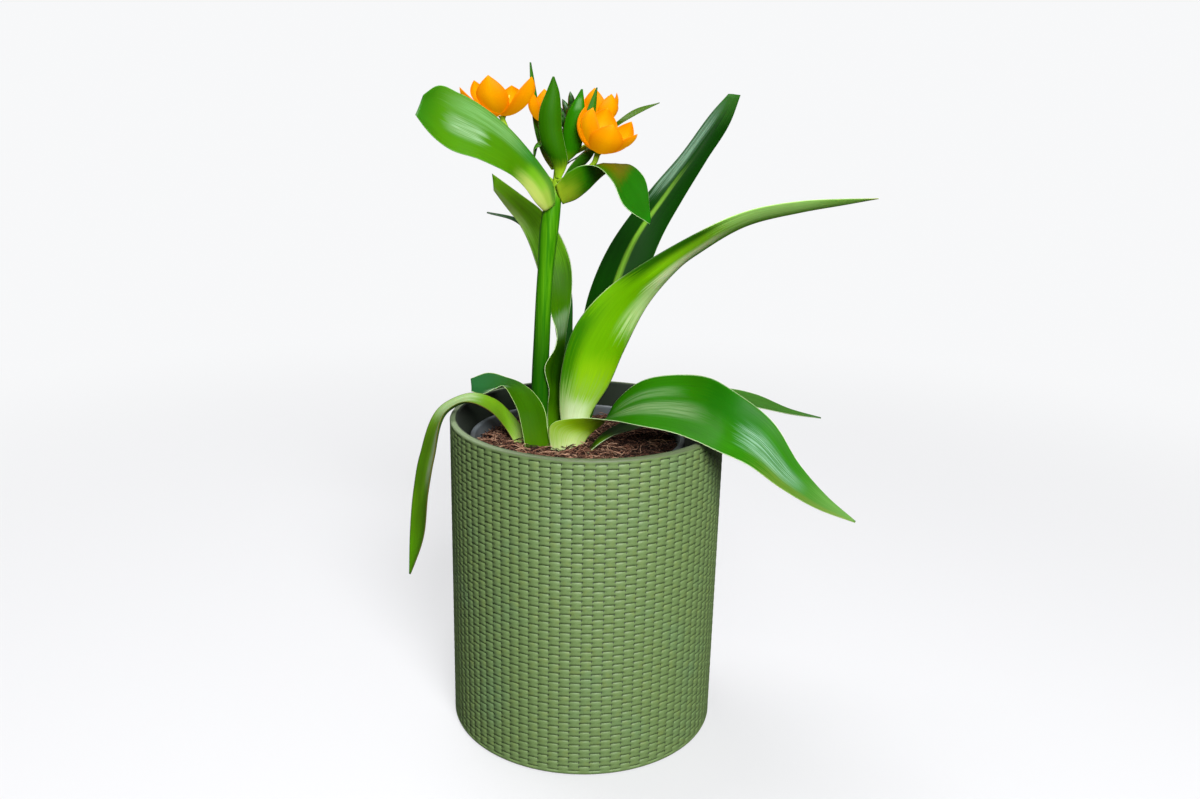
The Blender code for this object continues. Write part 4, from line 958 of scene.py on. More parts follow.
leaves = {
    "leaf_left_drooping": {
        "channel": -0.25,
        "stations": [
            (-31, -4, 151, -3.2, -1.5, -2.3), (-37.5, 1, 161.8, -2.4, -3.2, -2.9),
            (-44.2, 6, 169.2, -0.9, -5.0, -3.0), (-52, 3, 178, -0.6, -7.0, -1.4),
            (-65, -1, 183, 0.0, -9.0, 0.1), (-76, -6, 179, 2.3, -10.0, 1.1),
            (-86, -12, 152, 5.4, -10.0, 2.8), (-89, -15, 134, 5.4, -9.0, 2.7),
            (-92, -15, 107, 4.8, -7.0, 1.7), (-96, -16, 85, 0.5, -0.6, 0.2),
        ],
        "look": {
            "front": "#5E8A14", "back": "#4C7A1E", "foot": "#BCCB80", "footReach": 0.24, "tip": "#4F8A06",
            "tipStart": 0.5, "edge": "#6A5A2E", "edgeWidth": 0.02,
            # the first patch, #C9D6B8, is a painted sheen
            "patches": [
                ("#C9D6B8", 0.3, 0.5, 0.33, 0.53, 0.3, 0.4), ("#2C5408", 0.85, 0.3, 0.36, 0.5, 0.3, 0.7),
                ("#A6B692", 0.62, 0.25, 0.48, 0.74, 0.4, 0.8), ("#2A5800", 0.12, 0.3, 0.5, 0.78, 0.2, 0.6),
            ],
        },
    },
    "leaf_left_arching": {
        "channel": -0.2,
        "stations": [
            (-25, -10, 152, -6.8, 0.0, 0.1), (-28, -7, 167.6, -7.1, 0.0, 0.7),
            (-30, -3, 176.3, -7.3, 0.0, -0.5), (-34, 3, 182, -6.7, -1.0, -0.7),
            (-41, 11, 187, -5.2, -3.0, 0.1), (-49, 20, 185.5, -2.9, -8.0, -1.3),
            (-59, 24, 184, -0.6, -10.0, -3.5), (-66, 24, 183, 0.9, -6.0, -2.0),
        ],
        "look": {
            "front": "#2C5800", "back": "#2E6A22", "foot": "#457002", "footReach": 0.5, "tip": "#1E5428",
            "tipStart": 0.58, "edge": "#A8C27A", "edgeWidth": 0.02, "veins": 44.0, "veinStrength": 0.5,
            "shine": 0.02, "gloss": 0.5,
            # the patch is a painted sheen where the blade turns up to the light
            "patches": [("#B4CAB0", 0.9, 0.25, 0.66, 0.92, 0.3, 0.6)],
        },
    },
    "leaf_right_tall": {
        "channel": [(0.0, 0.3), (0.5, 0.3), (0.66, 0.08), (1.0, 0.0)],
        "stations": [
            (-6, 12, 152, -6.2, 0.0, 0.1), (-7, 12, 170, -8.3, -0.5, 0.8), (-2, 10, 190, -13.2, -2.0, 2.5),
            (5, 9, 213, -14.2, -3.0, 5.4), (20, 9, 238, -12.2, -5.0, 3.9), (38, 10, 255, -9.8, -8.0, 2.6),
            (55, 12, 266, -3.6, -8.0, 5.4), (81, 13, 280, -1.3, -5.6, 4.5), (110, 14, 287, -1.1, -4.0, 3.4),
            (133, 15, 290, -0.7, -2.2, 1.8), (151, 16, 292, -0.1, -0.6, 0.2),
        ],
        "look": {
            "front": "#62A000", "back": "#4A8A24", "foot": "#CADA9E", "footReach": 0.26, "tip": "#86C050",
            "tipStart": 0.5, "edge": "#A8C47C", "edgeWidth": 0.02, "veins": 40.0,
            # the pale patches #C2E296, #E1F1B6 and #C0F888 are painted light: sheen on the lower side that
            # lifts its shade
            "patches": [
                ("#98C810", 0.3, 0.7, 0.12, 0.31, 0.3, 0.6), ("#EEF4DC", 0.5, 0.5, 0.08, 0.2, 0.4, 0.5),
                ("#226A00", 1.0, 0.36, 0.16, 0.42, 0.3, 0.9), ("#86C410", 0.62, 0.34, 0.48, 0.76, 0.2, 0.6),
                ("#C0F888", 0.7, 0.6, 0.64, 0.92, 0.3, 0.75), ("#C2E296", 0.14, 0.34, 0.33, 0.6, 0.3, 0.85),
                ("#E1F1B6", 0.34, 0.24, 0.44, 0.7, 0.3, 0.85), ("#0E4600", 1.0, 0.34, 0.44, 0.69, 0.0, 0.9),
                ("#D0BE4A", 0.5, 0.8, 0.965, 1.2, 0.0, 0.9),
            ],
        },
    },
    "leaf_right_drooping": {
        "channel": 0.22,
        "stations": [
            (-11.5, -9, 151, -6.5, -1.5, 0.7), (-9, -4.5, 166.7, -10.0, -6.0, 5.0),
            (3, -2, 172, -6.4, -10.0, 4.1), (13, -6, 178, -1.4, -12.0, -0.9),
            (28, -15, 186, -0.6, -13.0, -8.5), (48, -24, 189, -3.5, -13.5, -11.9),
            (59, -33, 189, -4.3, -13.0, -13.0), (70, -43, 186, -5.0, -13.0, -11.8),
            (87, -50, 177, -7.1, -11.5, -7.9), (102, -56, 162, -5.5, -8.0, -3.8),
            (117, -62, 151, -3.4, -4.5, -1.7), (134, -65, 142, -0.3, -0.6, -0.2),
        ],
        "look": {
            "front": "#86AC0E", "back": "#266C00", "foot": "#D2D8B0", "footReach": 0.2, "tip": "#5E8A40",
            "tipStart": 0.8, "edge": "#B4CC98", "edgeWidth": 0.014, "veins": 46.0, "veinStrength": 0.5,
            # A4B88E and #9CB488 are painted sheen bands, and #A0C6B0 is a painted highlight
            "patches": [
                ("#6E9400", 1.0, 0.6, 0.09, 0.24, 0.2, 0.7), ("#A4B88E", 0.55, 0.2, 0.24, 0.58, 0.6, 0.42),
                ("#9CB488", 0.26, 0.12, 0.26, 0.5, 0.6, 0.3), ("#0A5A00", 0.2, 0.4, 0.5, 0.74, 0.2, 0.7),
                ("#A0C6B0", 0.5, 0.3, 0.64, 0.88, 0.75, 0.6), ("#6E8232", 0.88, 0.3, 0.68, 1.1, 0.3, 0.6),
            ],
        },
    },
    "leaf_right_low": {
        "channel": 0.25,
        "stations": [
            (-3, -13, 152.5, -1.8, -3.0, -0.8), (3.5, -9, 159.8, -1.2, -4.2, -1.4),
            (11, 0, 163.4, 0.6, -5.0, -0.4), (28, 13, 167, 1.5, -7.0, -1.0), (52, 20, 177, 1.9, -8.0, -1.4),
            (76, 26, 180, 0.6, -7.0, -2.0), (97, 32, 175, 0.9, -6.0, -2.5), (117, 36, 168, 0.2, -3.0, -0.9),
            (135, 38, 164, -0.1, -0.6, -0.2),
        ],
        "look": {
            "front": "#173F02", "back": "#36641F", "foot": "#64940A", "footReach": 0.45, "tip": "#3A5E2C",
            "edge": "#9FB08A", "edgeWidth": 0.03,
            # both patches are painted shade on the far, upper half of the folded blade
            "patches": [
                ("#061C00", 0.0, 0.9, 0.05, 0.42, 0.0, 0.9), ("#061C00", 0.8, 0.6, 0.22, 0.42, 0.0, 0.7),
            ],
        },
    },
    "leaf_back_right": {
        "channel": 0.35,
        "keel": 0.6,
        "stations": [
            (-6, 26, 151, -4.6, 0.0, 0.5), (-1, 28, 180, -7.9, 0.0, 0.4), (6, 32, 207, -11.6, 1.5, 0.8),
            (14, 38, 236, -14.5, 2.0, -1.3), (25, 46, 263, -13.7, 2.0, -1.4), (41, 51, 288, -9.3, 1.0, 2.2),
            (56, 55, 309, -7.0, 1.0, 1.7), (71, 58, 332, -5.3, 0.5, 2.0), (77, 58, 343, -3.3, 0.5, 0.2),
        ],
        "look": {
            "front": "#073400", "back": "#3A7A22", "foot": "#2C5A06", "footReach": 0.3, "tip": "#2A5A1A",
            "edge": "#3A6A2A", "edgeWidth": 0.02, "gloss": 0.5, "shine": 0.05,
            # the second patch, #86AA90, is a painted sheen on the left half
            "patches": [
                ("#6FA02C", 0.5, 0.08, 0.3, 0.84, 0.3, 0.95), ("#86AA90", 0.8, 0.26, 0.68, 1.0, 0.6, 0.6),
            ],
        },
    },
    "leaf_back_left": {
        "channel": -0.15,
        "stations": [
            (-18.5, 18, 153, -3.4, -0.5, 0.4), (-18.5, 17, 173, -3.8, -3.0, 2.3),
            (-18.3, 14, 182, -3.0, -5.0, 2.8), (-18.9, 12, 194, -4.7, -7.0, 4.5),
            (-15.8, 16, 208, -2.4, -7.2, 1.2), (-15, 24, 217, -2.7, -8.0, -1.4),
            (-16, 32, 225, -5.0, -6.0, -2.6), (-20, 40, 247, -8.5, -2.0, -3.8),
            (-34, 47, 274, -6.3, -1.0, -3.9), (-45, 50, 284, -4.5, 0.0, -3.1),
            (-56, 53, 293, 0.4, 0.0, -4.7),
        ],
        "look": {
            # the bright tip colour is painted light, which lifts the shade that falls on the tip
            "front": "#326200", "back": "#1E5A1A", "foot": "#4C7C06", "footReach": 0.26, "tip": "#A0FF30",
            "tipStart": 0.62, "shine": 0.04, "edge": "#A9C08C", "edgeWidth": 0.03,
            "patches": [
                ("#0A3000", 0.35, 0.6, 0.26, 0.46, 0.2, 0.85), ("#8CA084", 0.5, 0.7, 0.43, 0.55, 0.5, 0.5),
                ("#BCE680", 0.92, 0.3, 0.77, 1.1, 0.2, 0.85),
            ],
        },
    },
    "leaf_back_far": {
        "channel": 0.2,
        "stations": [
            (-13, 31, 149, -2.3, -1.0, 0.6), (-12, 37, 184, -3.4, -1.0, 0.2),
            (-14, 42, 206, -4.2, -2.0, -2.6), (-18, 49, 235, -6.1, -3.0, -1.0),
            (-27, 55, 258, -4.5, -5.0, -1.2), (-42, 58, 270, -0.2, -8.0, 0.9),
            (-60, 59, 275, 0.0, -2.0, 0.25),
        ],
        "look": {
            "front": "#1A4A12", "back": "#245620", "foot": "#3A6A12", "footReach": 0.2, "tip": "#4A6A4A",
        },
    },
}


def makeLeaves():
    for seed, (name, leaf) in enumerate(leaves.items()):
        blade = {**leaf, "stations": withFoot(leaf["stations"])}
        makeBlade(name, blade, "leaf", leaf["look"], seed * 7.3)


# Bracts: the leaves of the flower head, in the same form

bracts = {
    "bract_left": {
        "channel": [(0.0, 0.3), (0.12, 0.1), (0.3, -0.15)],
        "stations": [
            (-21.7, 4.8, 284.6, -2.9, -0.2, -2.0), (-24.3, 3.8, 291.5, -4.5, -2.2, -4.1),
            (-29.9, 2.0, 300.3, -4.2, -5.0, -4.9), (-36, 0.5, 307.2, -3.4, -7.0, -6.3),
            (-41, -1, 312, -2.0, -9.0, -8.5), (-53, -3, 320, -2.4, -11.0, -10.6),
            (-70, -4, 328, -1.8, -12.0, -12.8), (-81, -6, 334, -1.1, -10.0, -9.7),
            (-86, -7, 335, -1.3, -5.0, -4.7),
        ],
        "look": {
            "front": "#407800", "back": "#3A7A22", "foot": "#8AA83A", "footReach": 0.3, "tip": "#286600",
            "tipStart": 0.82, "edge": "#6A9A4A", "edgeWidth": 0.012, "veins": 50.0,
            # 8CBE80 is a painted sheen along the upper margin, and #A6C6A2 is a painted highlight
            "patches": [
                ("#1B6812", 0.04, 0.38, -0.1, 0.47, 0.2, 0.88), ("#8CBE80", 0.16, 0.2, 0.26, 0.9, 0.5, 0.4),
                ("#A6C6A2", 0.5, 0.24, 0.54, 0.86, 0.6, 0.5), ("#66A80A", 0.45, 0.3, 0.08, 0.3, 0.2, 0.55),
                ("#C8D272", 0.88, 0.4, -0.2, 0.36, 0.3, 0.6),
            ],
        },
    },
    "bract_right": {
        "channel": [
            (0.0, 0.2), (0.24, 0.1), (0.34, -0.22), (0.42, -0.36), (0.5, -0.3), (0.62, 0.0), (1.0, 0.1),
        ],
        "stations": [
            (-16.9, 8.1, 291, -1.8, -2.2, 5.0), (-10, 5, 296, -2.0, -6.0, 7.3),
            (-4, 3, 300, -1.5, -8.0, 7.0), (5, 0, 304, -1.3, -10.0, 2.4), (13, -4, 304, -2.8, -10.0, -3.5),
            (21, -10, 296, -5.0, -8.0, -6.6), (30, -15, 281, -0.3, -1.2, -1.2),
        ],
        "look": {
            "front": "#308600", "back": "#1A6000", "foot": "#9EBC26", "footReach": 0.28, "tip": "#186A00",
            "edge": "#A8C88A", "edgeWidth": 0.018,
            "patches": [
                ("#3C8A00", 1.0, 0.5, 0.03, 0.27, 0.2, 0.75), ("#6A5A04", 0.35, 0.8, 0.3, 0.66, 0.2, 0.8),
            ],
        },
    },
    "bract_front": {
        "channel": 0.45,
        "stations": [
            (-17.6, 8.6, 299.6, -1.7, 0.4, 0.0), (-16.8, 6.6, 305.3, -3.3, 0.3, 0.4),
            (-17.5, 4.8, 309.5, -4.9, 0.1, 1.1), (-18.9, 4, 313, -5.9, 0.0, 1.4),
            (-21.5, 3, 325, -5.9, -0.5, 0.9), (-21.5, 3, 335, -5.2, -0.5, -0.3),
            (-20.5, 4, 342.5, -3.2, -0.2, -0.1), (-20.3, 5, 349.8, -0.5, 0.0, 0.0),
        ],
        "look": {
            "front": "#2A6200", "back": "#2A6412", "foot": "#9CC620", "footReach": 0.25, "tip": "#285C00",
            "edge": "#8CAA6A", "edgeWidth": 0.02, "gloss": 0.5, "shine": 0.06,
        },
    },
    "bract_front_right": {
        "channel": 0.4,
        "stations": [
            (-15.2, 8.6, 306.5, -1.1, -1.4, -0.3), (-11, 6.5, 314, -4.4, 0.0, 0.0),
            (-10, 6, 323, -5.1, 0.0, 0.0), (-9, 6.5, 332, -4.6, 0.0, -1.0), (-6, 9, 344, -0.5, 0.0, 0.0),
        ],
        "look": {
            "front": "#246C00", "back": "#245A12", "foot": "#6A9A10", "footReach": 0.25, "tip": "#2A6412",
            "edge": "#6A5A2A", "edgeWidth": 0.02, "gloss": 0.5, "shine": 0.03,
            # the patch is a painted highlight near the top
            "patches": [("#A4CC98", 0.4, 0.3, 0.7, 0.9, 0.4, 0.25)],
        },
    },
}
slimBracts = {
    "bract_thin_left": {
        "channel": 0.2,
        "stations": [
            (-19.9, 12.5, 303.5, -1.3, -1.2, 0.0), (-24, 19, 309, -1.7, -1.2, 0.2),
            (-29, 28, 321, -1.8, -1.2, 0.4), (-32, 34, 340, -1.6, -1.4, 0.0),
            (-34, 35, 357, -0.4, -0.4, 0.0),
        ],
    },
    "bract_thin_low": {
        "channel": 0.2,
        "stations": [
            (-19.9, 8.8, 309, 1.0, -1.6, 0.0), (-24, 9, 317, 0.4, -3.0, -1.0),
            (-28, 8.5, 316, -0.8, -3.2, -1.5), (-30, 8, 309, -0.2, -0.8, 0.1),
        ],
    },
    "bract_thin_right": {
        "channel": 0.25,
        "stations": [
            (-15.1, 10.8, 305.5, -0.6, 1.4, 0.4), (-7, 13, 311, -0.8, -2.0, -0.6),
            (3, 18, 319, -0.4, -2.4, -1.2), (11, 24, 326, -0.4, -2.5, -1.2), (22, 31, 333, 0.4, -2.2, -1.3),
            (35, 38, 338, 0.0, -0.5, -0.1),
        ],
        "look": {
            "front": "#3C5E00", "back": "#3C5E00", "foot": "#4A5A1A", "footReach": 0.4, "tip": "#4A6430",
        },
    },
    "bract_small_right": {
        "channel": 0.25,
        "stations": [
            (-14.3, 10.2, 311.5, -0.2, -1.4, 0.3), (-7, 11, 319, -2.1, -1.6, 0.4),
            (-2, 12, 331, -2.5, -1.0, 0.2), (1.5, 13, 345, -0.4, -0.2, 0.0),
        ],
    },
    "bract_short_right": {
        "channel": 0.3,
        "stations": [
            (-15.4, 11.3, 298.5, -0.2, -1.3, 0.5), (-9, 10.5, 305, -2.0, -3.0, 1.4),
            (-3, 9.5, 311, -2.0, -3.0, 1.4), (1.5, 9, 315, -0.4, -0.5, 0.4),
        ],
    },
}
slimLook = {"front": "#2E6A0C", "back": "#2F6410", "foot": "#7A9E1C", "footReach": 0.25, "tip": "#2A5A1A",
            "edge": "#5A7A3A", "edgeWidth": 0.04, "rib": "#5A8A2A", "ribStrength": 0.3}


def makeBracts():
    for seed, (name, bract) in enumerate({**bracts, **slimBracts}.items()):
        kind = "broadBract" if name in bracts else "slimBract"
        makeBlade(name, bract, kind, bract.get("look", slimLook), 90 + seed * 3.7)


# Flower stem with its pedicels

stemRoute = [
    (-25, 13, 150, 4.6), (-26.5, 12, 182, 4.6), (-25.5, 11, 215, 4.4), (-24, 10, 248, 4.2),
    (-20.5, 10, 284, 4.4), (-19.4, 10, 290, 3.6), (-18.6, 10, 296, 2.2), (-17.8, 10, 304, 2.0),
    (-17.2, 10.5, 314, 1.9),
]
stemLook = {
    "rows": 120, "sides": 28, "ridges": 7, "ridge": 0.10, "ridgeTwist": 2.0,
    "pedicelRadius": 1.4, "pedicelRows": 24, "pedicelSides": 12,
    "receptacle": 2.5,                             # length of the cone under a flower
    "receptacleOutline": [(0.35, 1.45), (0.7, 1.9), (0.92, 2.2), (1.0, 1.9)],
    "shade": "#0C4A00", "green": "#307A00", "light": "#52980A", "shadeFrom": 195.0, "shadeTo": 246.0,
    # a paler top, partly the stem's own colour and partly painted light where the pedicels stand in shade
    "paleTop": "#8CB224", "paleTopStart": 286.0, "paleTopFull": 300.0,
    "streaks": (900.0, 900.0, 22.0),               # how fine the streaks are across and along
    "roughness": 0.42, "shine": 0.12,
    "streakDetail": 3.0, "lightSpread": (0.35, 0.7), "shadeShare": 0.85,
    "relief": (0.1, 0.5),                          # depth and strength
}


def tubeParts(rows, sides, bumpiness=None):
    # points and faces of a closed tube through (x, y, z, radius) rows
    places, radii = rows[:, :3], rows[:, 3]
    along = np.gradient(places, axis=0)
    along /= np.linalg.norm(along, axis=1)[:, None]
    points, faces = [], []
    side = np.cross(along[0], (0.0, 1.0, 0.0))
    for index, (place, radius) in enumerate(zip(places, radii)):
        side = side - along[index] * np.dot(side, along[index])
        side /= np.linalg.norm(side)
        back = np.cross(along[index], side)
        for step in range(sides):
            angle = 2 * math.pi * step / sides
            reach = radius + (bumpiness(index / (len(rows) - 1), angle) if bumpiness else 0.0)
            points.append((place + side * math.cos(angle) * reach + back * math.sin(angle) * reach) * mm)
    for index in range(len(rows) - 1):
        low, high = index * sides, (index + 1) * sides
        for step in range(sides):
            ahead = (step + 1) % sides
            faces.append((low + step, low + ahead, high + ahead, high + step))
    faces.append(tuple(reversed(range(sides))))
    faces.append(tuple(range(len(points) - sides, len(points))))
    return points, faces


def lineParts(foot, reach, outline, sides, bumpiness=None):
    # a tube along a straight line; the outline is (share of the reach, radius)
    rows = np.array([(*(foot + reach * share), radius) for share, radius in outline])
    return tubeParts(rows, sides, bumpiness)


def joinParts(name, parts):
    points, faces = [], []
    for somePoints, someFaces in parts:
        shift = len(points)
        points += list(somePoints)
        faces += [tuple(index + shift for index in face) for face in someFaces]
    return fixFacing(smoothMesh(name, points, faces))


def stemMaterial():
    look = stemLook
    settings = {"Roughness": look["roughness"], "Specular IOR Level": look["shine"]}
    material, tree, shader = newMaterial("stemSkin", settings)
    place = objectPlace(tree)
    shrink = addNode(tree, "ShaderNodeMapping", {"Vector": place, "Scale": look["streaks"]})
    streaks = noiseNode(tree, shrink.outputs[0], 1.0, look["streakDetail"])
    color = mixColor(tree, stretch(tree, streaks, *look["lightSpread"]), look["green"], look["light"])
    height = splitXyz(tree, place)[2]
    low = stretch(tree, height, look["shadeFrom"] * mm, look["shadeTo"] * mm, look["shadeShare"], 0.0)
    color = mixColor(tree, low, color, look["shade"])
    # paler at the top: partly the stem's own colour, partly painted light over the shaded pedicels
    paleTop = stretch(tree, height, look["paleTopStart"] * mm, look["paleTopFull"] * mm)
    feed(tree, shader.inputs, {"Base Color": mixColor(tree, paleTop, color, look["paleTop"])})
    addBump(tree, shader, streaks, *look["relief"])
    return material


# Flowers: "opened", "swung" and "drawn" change a petal by its number: how far its tip spreads, its turn in
# degrees and its length

flowers = {
    "flower_left": {
        "foot": (-48, 26, 330), "axis": (-0.08, -0.03, 1.0), "spread": 17.0, "height": 21.5, "turn": 14,
        "petalWidth": 0.44, "opened": {0: 0.25, 2: 0.2, 5: 0.15}, "swung": {2: 16, 5: 16},
        "drawn": {2: 1.15, 3: 0.72, 4: 0.72},
        "pedicel": [
            (-18.4, 10.2, 296), (-25, 13, 300), (-33.3, 17.5, 306.5), (-40.5, 22, 314.5),
            (-45.5, 25.5, 322.5),
        ],
    },
    "flower_back_left": {
        "foot": (-26, 25, 327), "axis": (-0.05, 0.1, 1.0), "spread": 7.5, "height": 17.0, "turn": 40,
        "pedicel": [(-17.5, 10.5, 308), (-20, 17, 312), (-25, 24, 320), (-26, 25, 323)],
    },
    "flower_right": {
        "foot": (3, 0, 314), "axis": (0.30, -0.12, 1.0), "spread": 14.0, "height": 21.5, "turn": -20,
        "opened": {2: 0.16, 3: 0.4, 4: 0.1},
        "pedicel": [(-18, 9.2, 298), (-12, 5.5, 299.5), (-5, 2.5, 303), (1.5, 0.6, 309)],
    },
    "flower_back_right": {
        "foot": (3, 27, 327), "axis": (0.05, 0.08, 1.0), "spread": 9.5, "height": 17.0, "turn": 5,
        "pedicel": [(-17.3, 10.8, 310), (-8, 19, 313), (1, 26, 319), (3, 27, 323)],
    },
}


def flowerFrame(flower):
    axis = Vector(flower["axis"]).normalized()
    side = axis.cross(Vector((0.0, 1.0, 0.0))).normalized()
    return Vector(flower["foot"]), axis, side, axis.cross(side)


def makeStem():
    x, y, _, radius = stemRoute[0]
    foot = (*drawnIn(x, y), bulbPlace["footZ"] + bulbPlace["stemRise"], radius)
    rows = smoothPath([foot] + stemRoute, stemLook["rows"])

    def ridged(along, angle):
        return stemLook["ridge"] * math.cos(stemLook["ridges"] * angle + stemLook["ridgeTwist"] * along)

    parts = [tubeParts(rows, stemLook["sides"], ridged)]
    for flower in flowers.values():
        head, axis, _, _ = flowerFrame(flower)
        end = head - axis * 0.3
        route = [(*point, stemLook["pedicelRadius"]) for point in flower["pedicel"]]
        route.append((*(end - axis * stemLook["receptacle"]), stemLook["pedicelRadius"] * 1.1))
        rows = list(smoothPath(route, stemLook["pedicelRows"]))
        for share, radius in stemLook["receptacleOutline"]:
            rows.append(np.array((*(end - axis * stemLook["receptacle"] * (1 - share)), radius)))
        parts.append(tubeParts(np.array(rows), stemLook["pedicelSides"]))
    settle(newPiece("flowerStem", joinParts("flowerStem", parts), stemMaterial()), "stem", "flower_stem")


# A flower has six cupped tepals in two whorls, an ovary with its style, and six stamens

tepal = {
    "count": 6, "rows": 20, "columns": 12, "thickness": 0.6, "keel": 0.12,
    "rootHeight": 0.9, "lift": 1.7, "innerReach": 0.87,
    "reachFrom": 0.96, "reachMore": 0.07, "heightFrom": 0.94, "heightMore": 0.1,      # limits of the draws
    "bowlStart": 0.12, "bowlTurn": 1.34,
    "widthShare": 0.52, "widthRest": 1.2, "widest": 0.6, "foot": 0.45, "point": 1.9, "narrowest": 0.2,
    "flatten": 0.8,                # how much lower an opened petal's tip gets
    "cupping": -0.36,
    "seed": 11,
    "color": "#FA9C00", "light": "#FFA800", "deep": "#F28200",
    "lit": 0.48, "glow": 0.52,     # share of the light from outside, and the petals' own glow, painted light that stands in for light through the petals
    "lineRates": (26.0, 1.5), "lineDetail": 3.0,   # how often fine lines come across a petal and along it
    "lightMiddle": (0.0, 0.3), "deepMargin": (0.28, 0.52, 0.0, 0.7), "deepLines": (0.55, 0.8, 0.0, 0.35),
    "relief": (0.12, 0.5),
}
pistil = {
    "foot": 3.3, "length": 6.5, "sides": 24,
    "plumpFrom": 0.8, "plumpShare": 0.1,           # the ovary's radius, from the flower's spread
    "ovary": [(0.0, 0.7), (0.15, 0.9), (0.35, 1.0), (0.6, 0.92), (0.8, 0.72)],
    "style": [(0.95, 0.8), (1.05, 0.6), (1.25, 0.55), (1.32, 0.7), (1.38, 0.4)],
    "lobes": 3, "lobe": 0.14, "lobesTo": 0.62,
    "discOutline": [(0.0, 1.82), (0.2, 2.47), (0.5, 2.6), (0.85, 2.34), (1.0, 1.56)],
    "discHeight": 3.0, "discSides": 20,
    "skin": {
        "colors": ("#2A3A12", "#5A6A22"), "roughness": 0.3,
        "grain": (700.0,), "relief": (900.0, 2.0, 0.08, 0.5),
    },
}
stamens = {
    "Count": 6, "Ring": 2.3 * mm, "Filament": 7.0 * mm, "Lean": 0.32,
    "Thickness": 0.42 * mm, "Anther": 1.5 * mm, "Size": 1.0,
}
stamenLook = {
    "foot": 2.4, "sizeFrom": 0.55, "sizeShare": 0.026,     # the ring's size, from the flower's spread
    "skin": {
        "colors": ("#F4B21E", "#FFD85A"), "roughness": 0.5,
        "grain": (900.0,), "relief": (2500.0, 2.0, 0.08, 0.6),
    },
}


def tepalRows(flower, index, angle, draw):
    foot, axis, side, back = flowerFrame(flower)
    inner = index % 2 == 1
    out = side * math.cos(angle) + back * math.sin(angle)
    cross = axis.cross(out)
    lift = tepal["rootHeight"] + (tepal["lift"] if inner else 0.0)
    reach = tepal["innerReach"] if inner else 1.0
    reach *= tepal["reachFrom"] + tepal["reachMore"] * draw.random()
    width = flower.get("petalWidth", tepal["widthShare"]) * flower["spread"] + tepal["widthRest"]
    height = flower["height"] - tepal["rootHeight"]
    height *= tepal["heightFrom"] + tepal["heightMore"] * draw.random()
    height *= flower.get("drawn", {}).get(index, 1.0)
    opened = flower.get("opened", {}).get(index, 0.0)
    rows = []
    for row in range(tepal["rows"] + 1):
        t = row / tepal["rows"]
        bowl = tepal["bowlStart"] + tepal["bowlTurn"] * t
        radius = flower["spread"] * reach * math.sin(bowl) * (1.0 + opened * t**2)
        z = lift + height * (1.0 - math.cos(bowl)) * (1.0 - tepal["flatten"] * opened * t)
        if t < tepal["widest"]:
            share = tepal["foot"] + (1.0 - tepal["foot"]) * math.sin(math.pi / 2 * t / tepal["widest"])
        else:
            share = 1.0 - ((t - tepal["widest"]) / (1.0 - tepal["widest"])) ** tepal["point"]
        place = foot + out * radius + axis * z
        rows.append((*place, *(cross * max(tepal["narrowest"], width * share))))
    return np.array(rows)


def tepalMaterial():
    material, tree, shader = newMaterial("petalOrange", {
        "Roughness": 0.55, "Specular IOR Level": 0.06, "Emission Strength": tepal["glow"],
        "Subsurface Weight": 0.03, "Subsurface Scale": 0.002, "Subsurface Radius": (1.0, 0.45, 0.05),
    })
    across, along, _ = bladePlace(tree)
    calc = partial(mathNode, tree)
    place = [calc("MULTIPLY", *pair) for pair in zip((across, along), tepal["lineRates"])]
    streaks = noiseNode(tree, joinXyz(tree, *place, 0.0), 1.0, tepal["lineDetail"])
    fromMiddle = apart(tree, across, 0.5)
    color = mixColor(tree, stretch(tree, fromMiddle, *tepal["lightMiddle"]), tepal["light"], tepal["color"])
    color = mixColor(tree, stretch(tree, fromMiddle, *tepal["deepMargin"]), color, tepal["deep"])
    color = mixColor(tree, stretch(tree, streaks, *tepal["deepLines"]), color, tepal["deep"])
    # painted light: the petals glow in their own colour, which lifts their shade
    lit = mixColor(tree, 1.0, color, (tepal["lit"], tepal["lit"], tepal["lit"], 1.0), "MULTIPLY")
    feed(tree, shader.inputs, {"Base Color": lit, "Emission Color": color})
    addBump(tree, shader, streaks, *tepal["relief"])
    return material


def stamenTree(material):
    # a ring of leaning stalks, each with a long head
    inputs = {**stamens, "Foot": (0.0, 0.0, 0.0), "Turn": (0.0, 0.0, 0.0)}
    tree, given, result = newGroup("stamenRing", "GeometryNodeTree", inputs, {"Geometry": None})
    calc = partial(mathNode, tree)
    stalk = addNode(tree, "GeometryNodeMeshCone", {
        "Vertices": 8, "Side Segments": 3, "Depth": given["Filament"],
        "Radius Bottom": given["Thickness"], "Radius Top": calc("MULTIPLY", given["Thickness"], 0.5),
    })
    feeds = {"Segments": 10, "Rings": 6, "Radius": calc("MULTIPLY", given["Anther"], 0.5)}
    head = addNode(tree, "GeometryNodeMeshUVSphere", feeds)
    placeHead = addNode(tree, "GeometryNodeTransform", {
        "Geometry": head.outputs["Mesh"], "Translation": joinXyz(tree, 0.0, 0.0, given["Filament"]),
        "Scale": (0.6, 0.8, 1.5),
    })
    both = addNode(tree, "GeometryNodeJoinGeometry")
    for part in (stalk, placeHead):
        feed(tree, both.inputs, {0: part.outputs[0]})
    ring = addNode(tree, "GeometryNodeMeshCircle", {"Vertices": given["Count"], "Radius": given["Ring"]})
    index = addNode(tree, "GeometryNodeInputIndex").outputs[0]
    angle = calc("DIVIDE", calc("MULTIPLY", index, 2 * math.pi), given["Count"])
    put = addNode(tree, "GeometryNodeInstanceOnPoints", {
        "Points": ring.outputs[0], "Instance": both.outputs[0],
        "Rotation": joinXyz(tree, 0.0, given["Lean"], angle),
    })
    whole = addNode(tree, "GeometryNodeTransform", {
        "Geometry": put.outputs[0], "Translation": given["Foot"], "Rotation": given["Turn"],
        "Scale": joinXyz(tree, given["Size"], given["Size"], given["Size"]),
    })
    return finishTree(tree, whole.outputs[0], material, result)


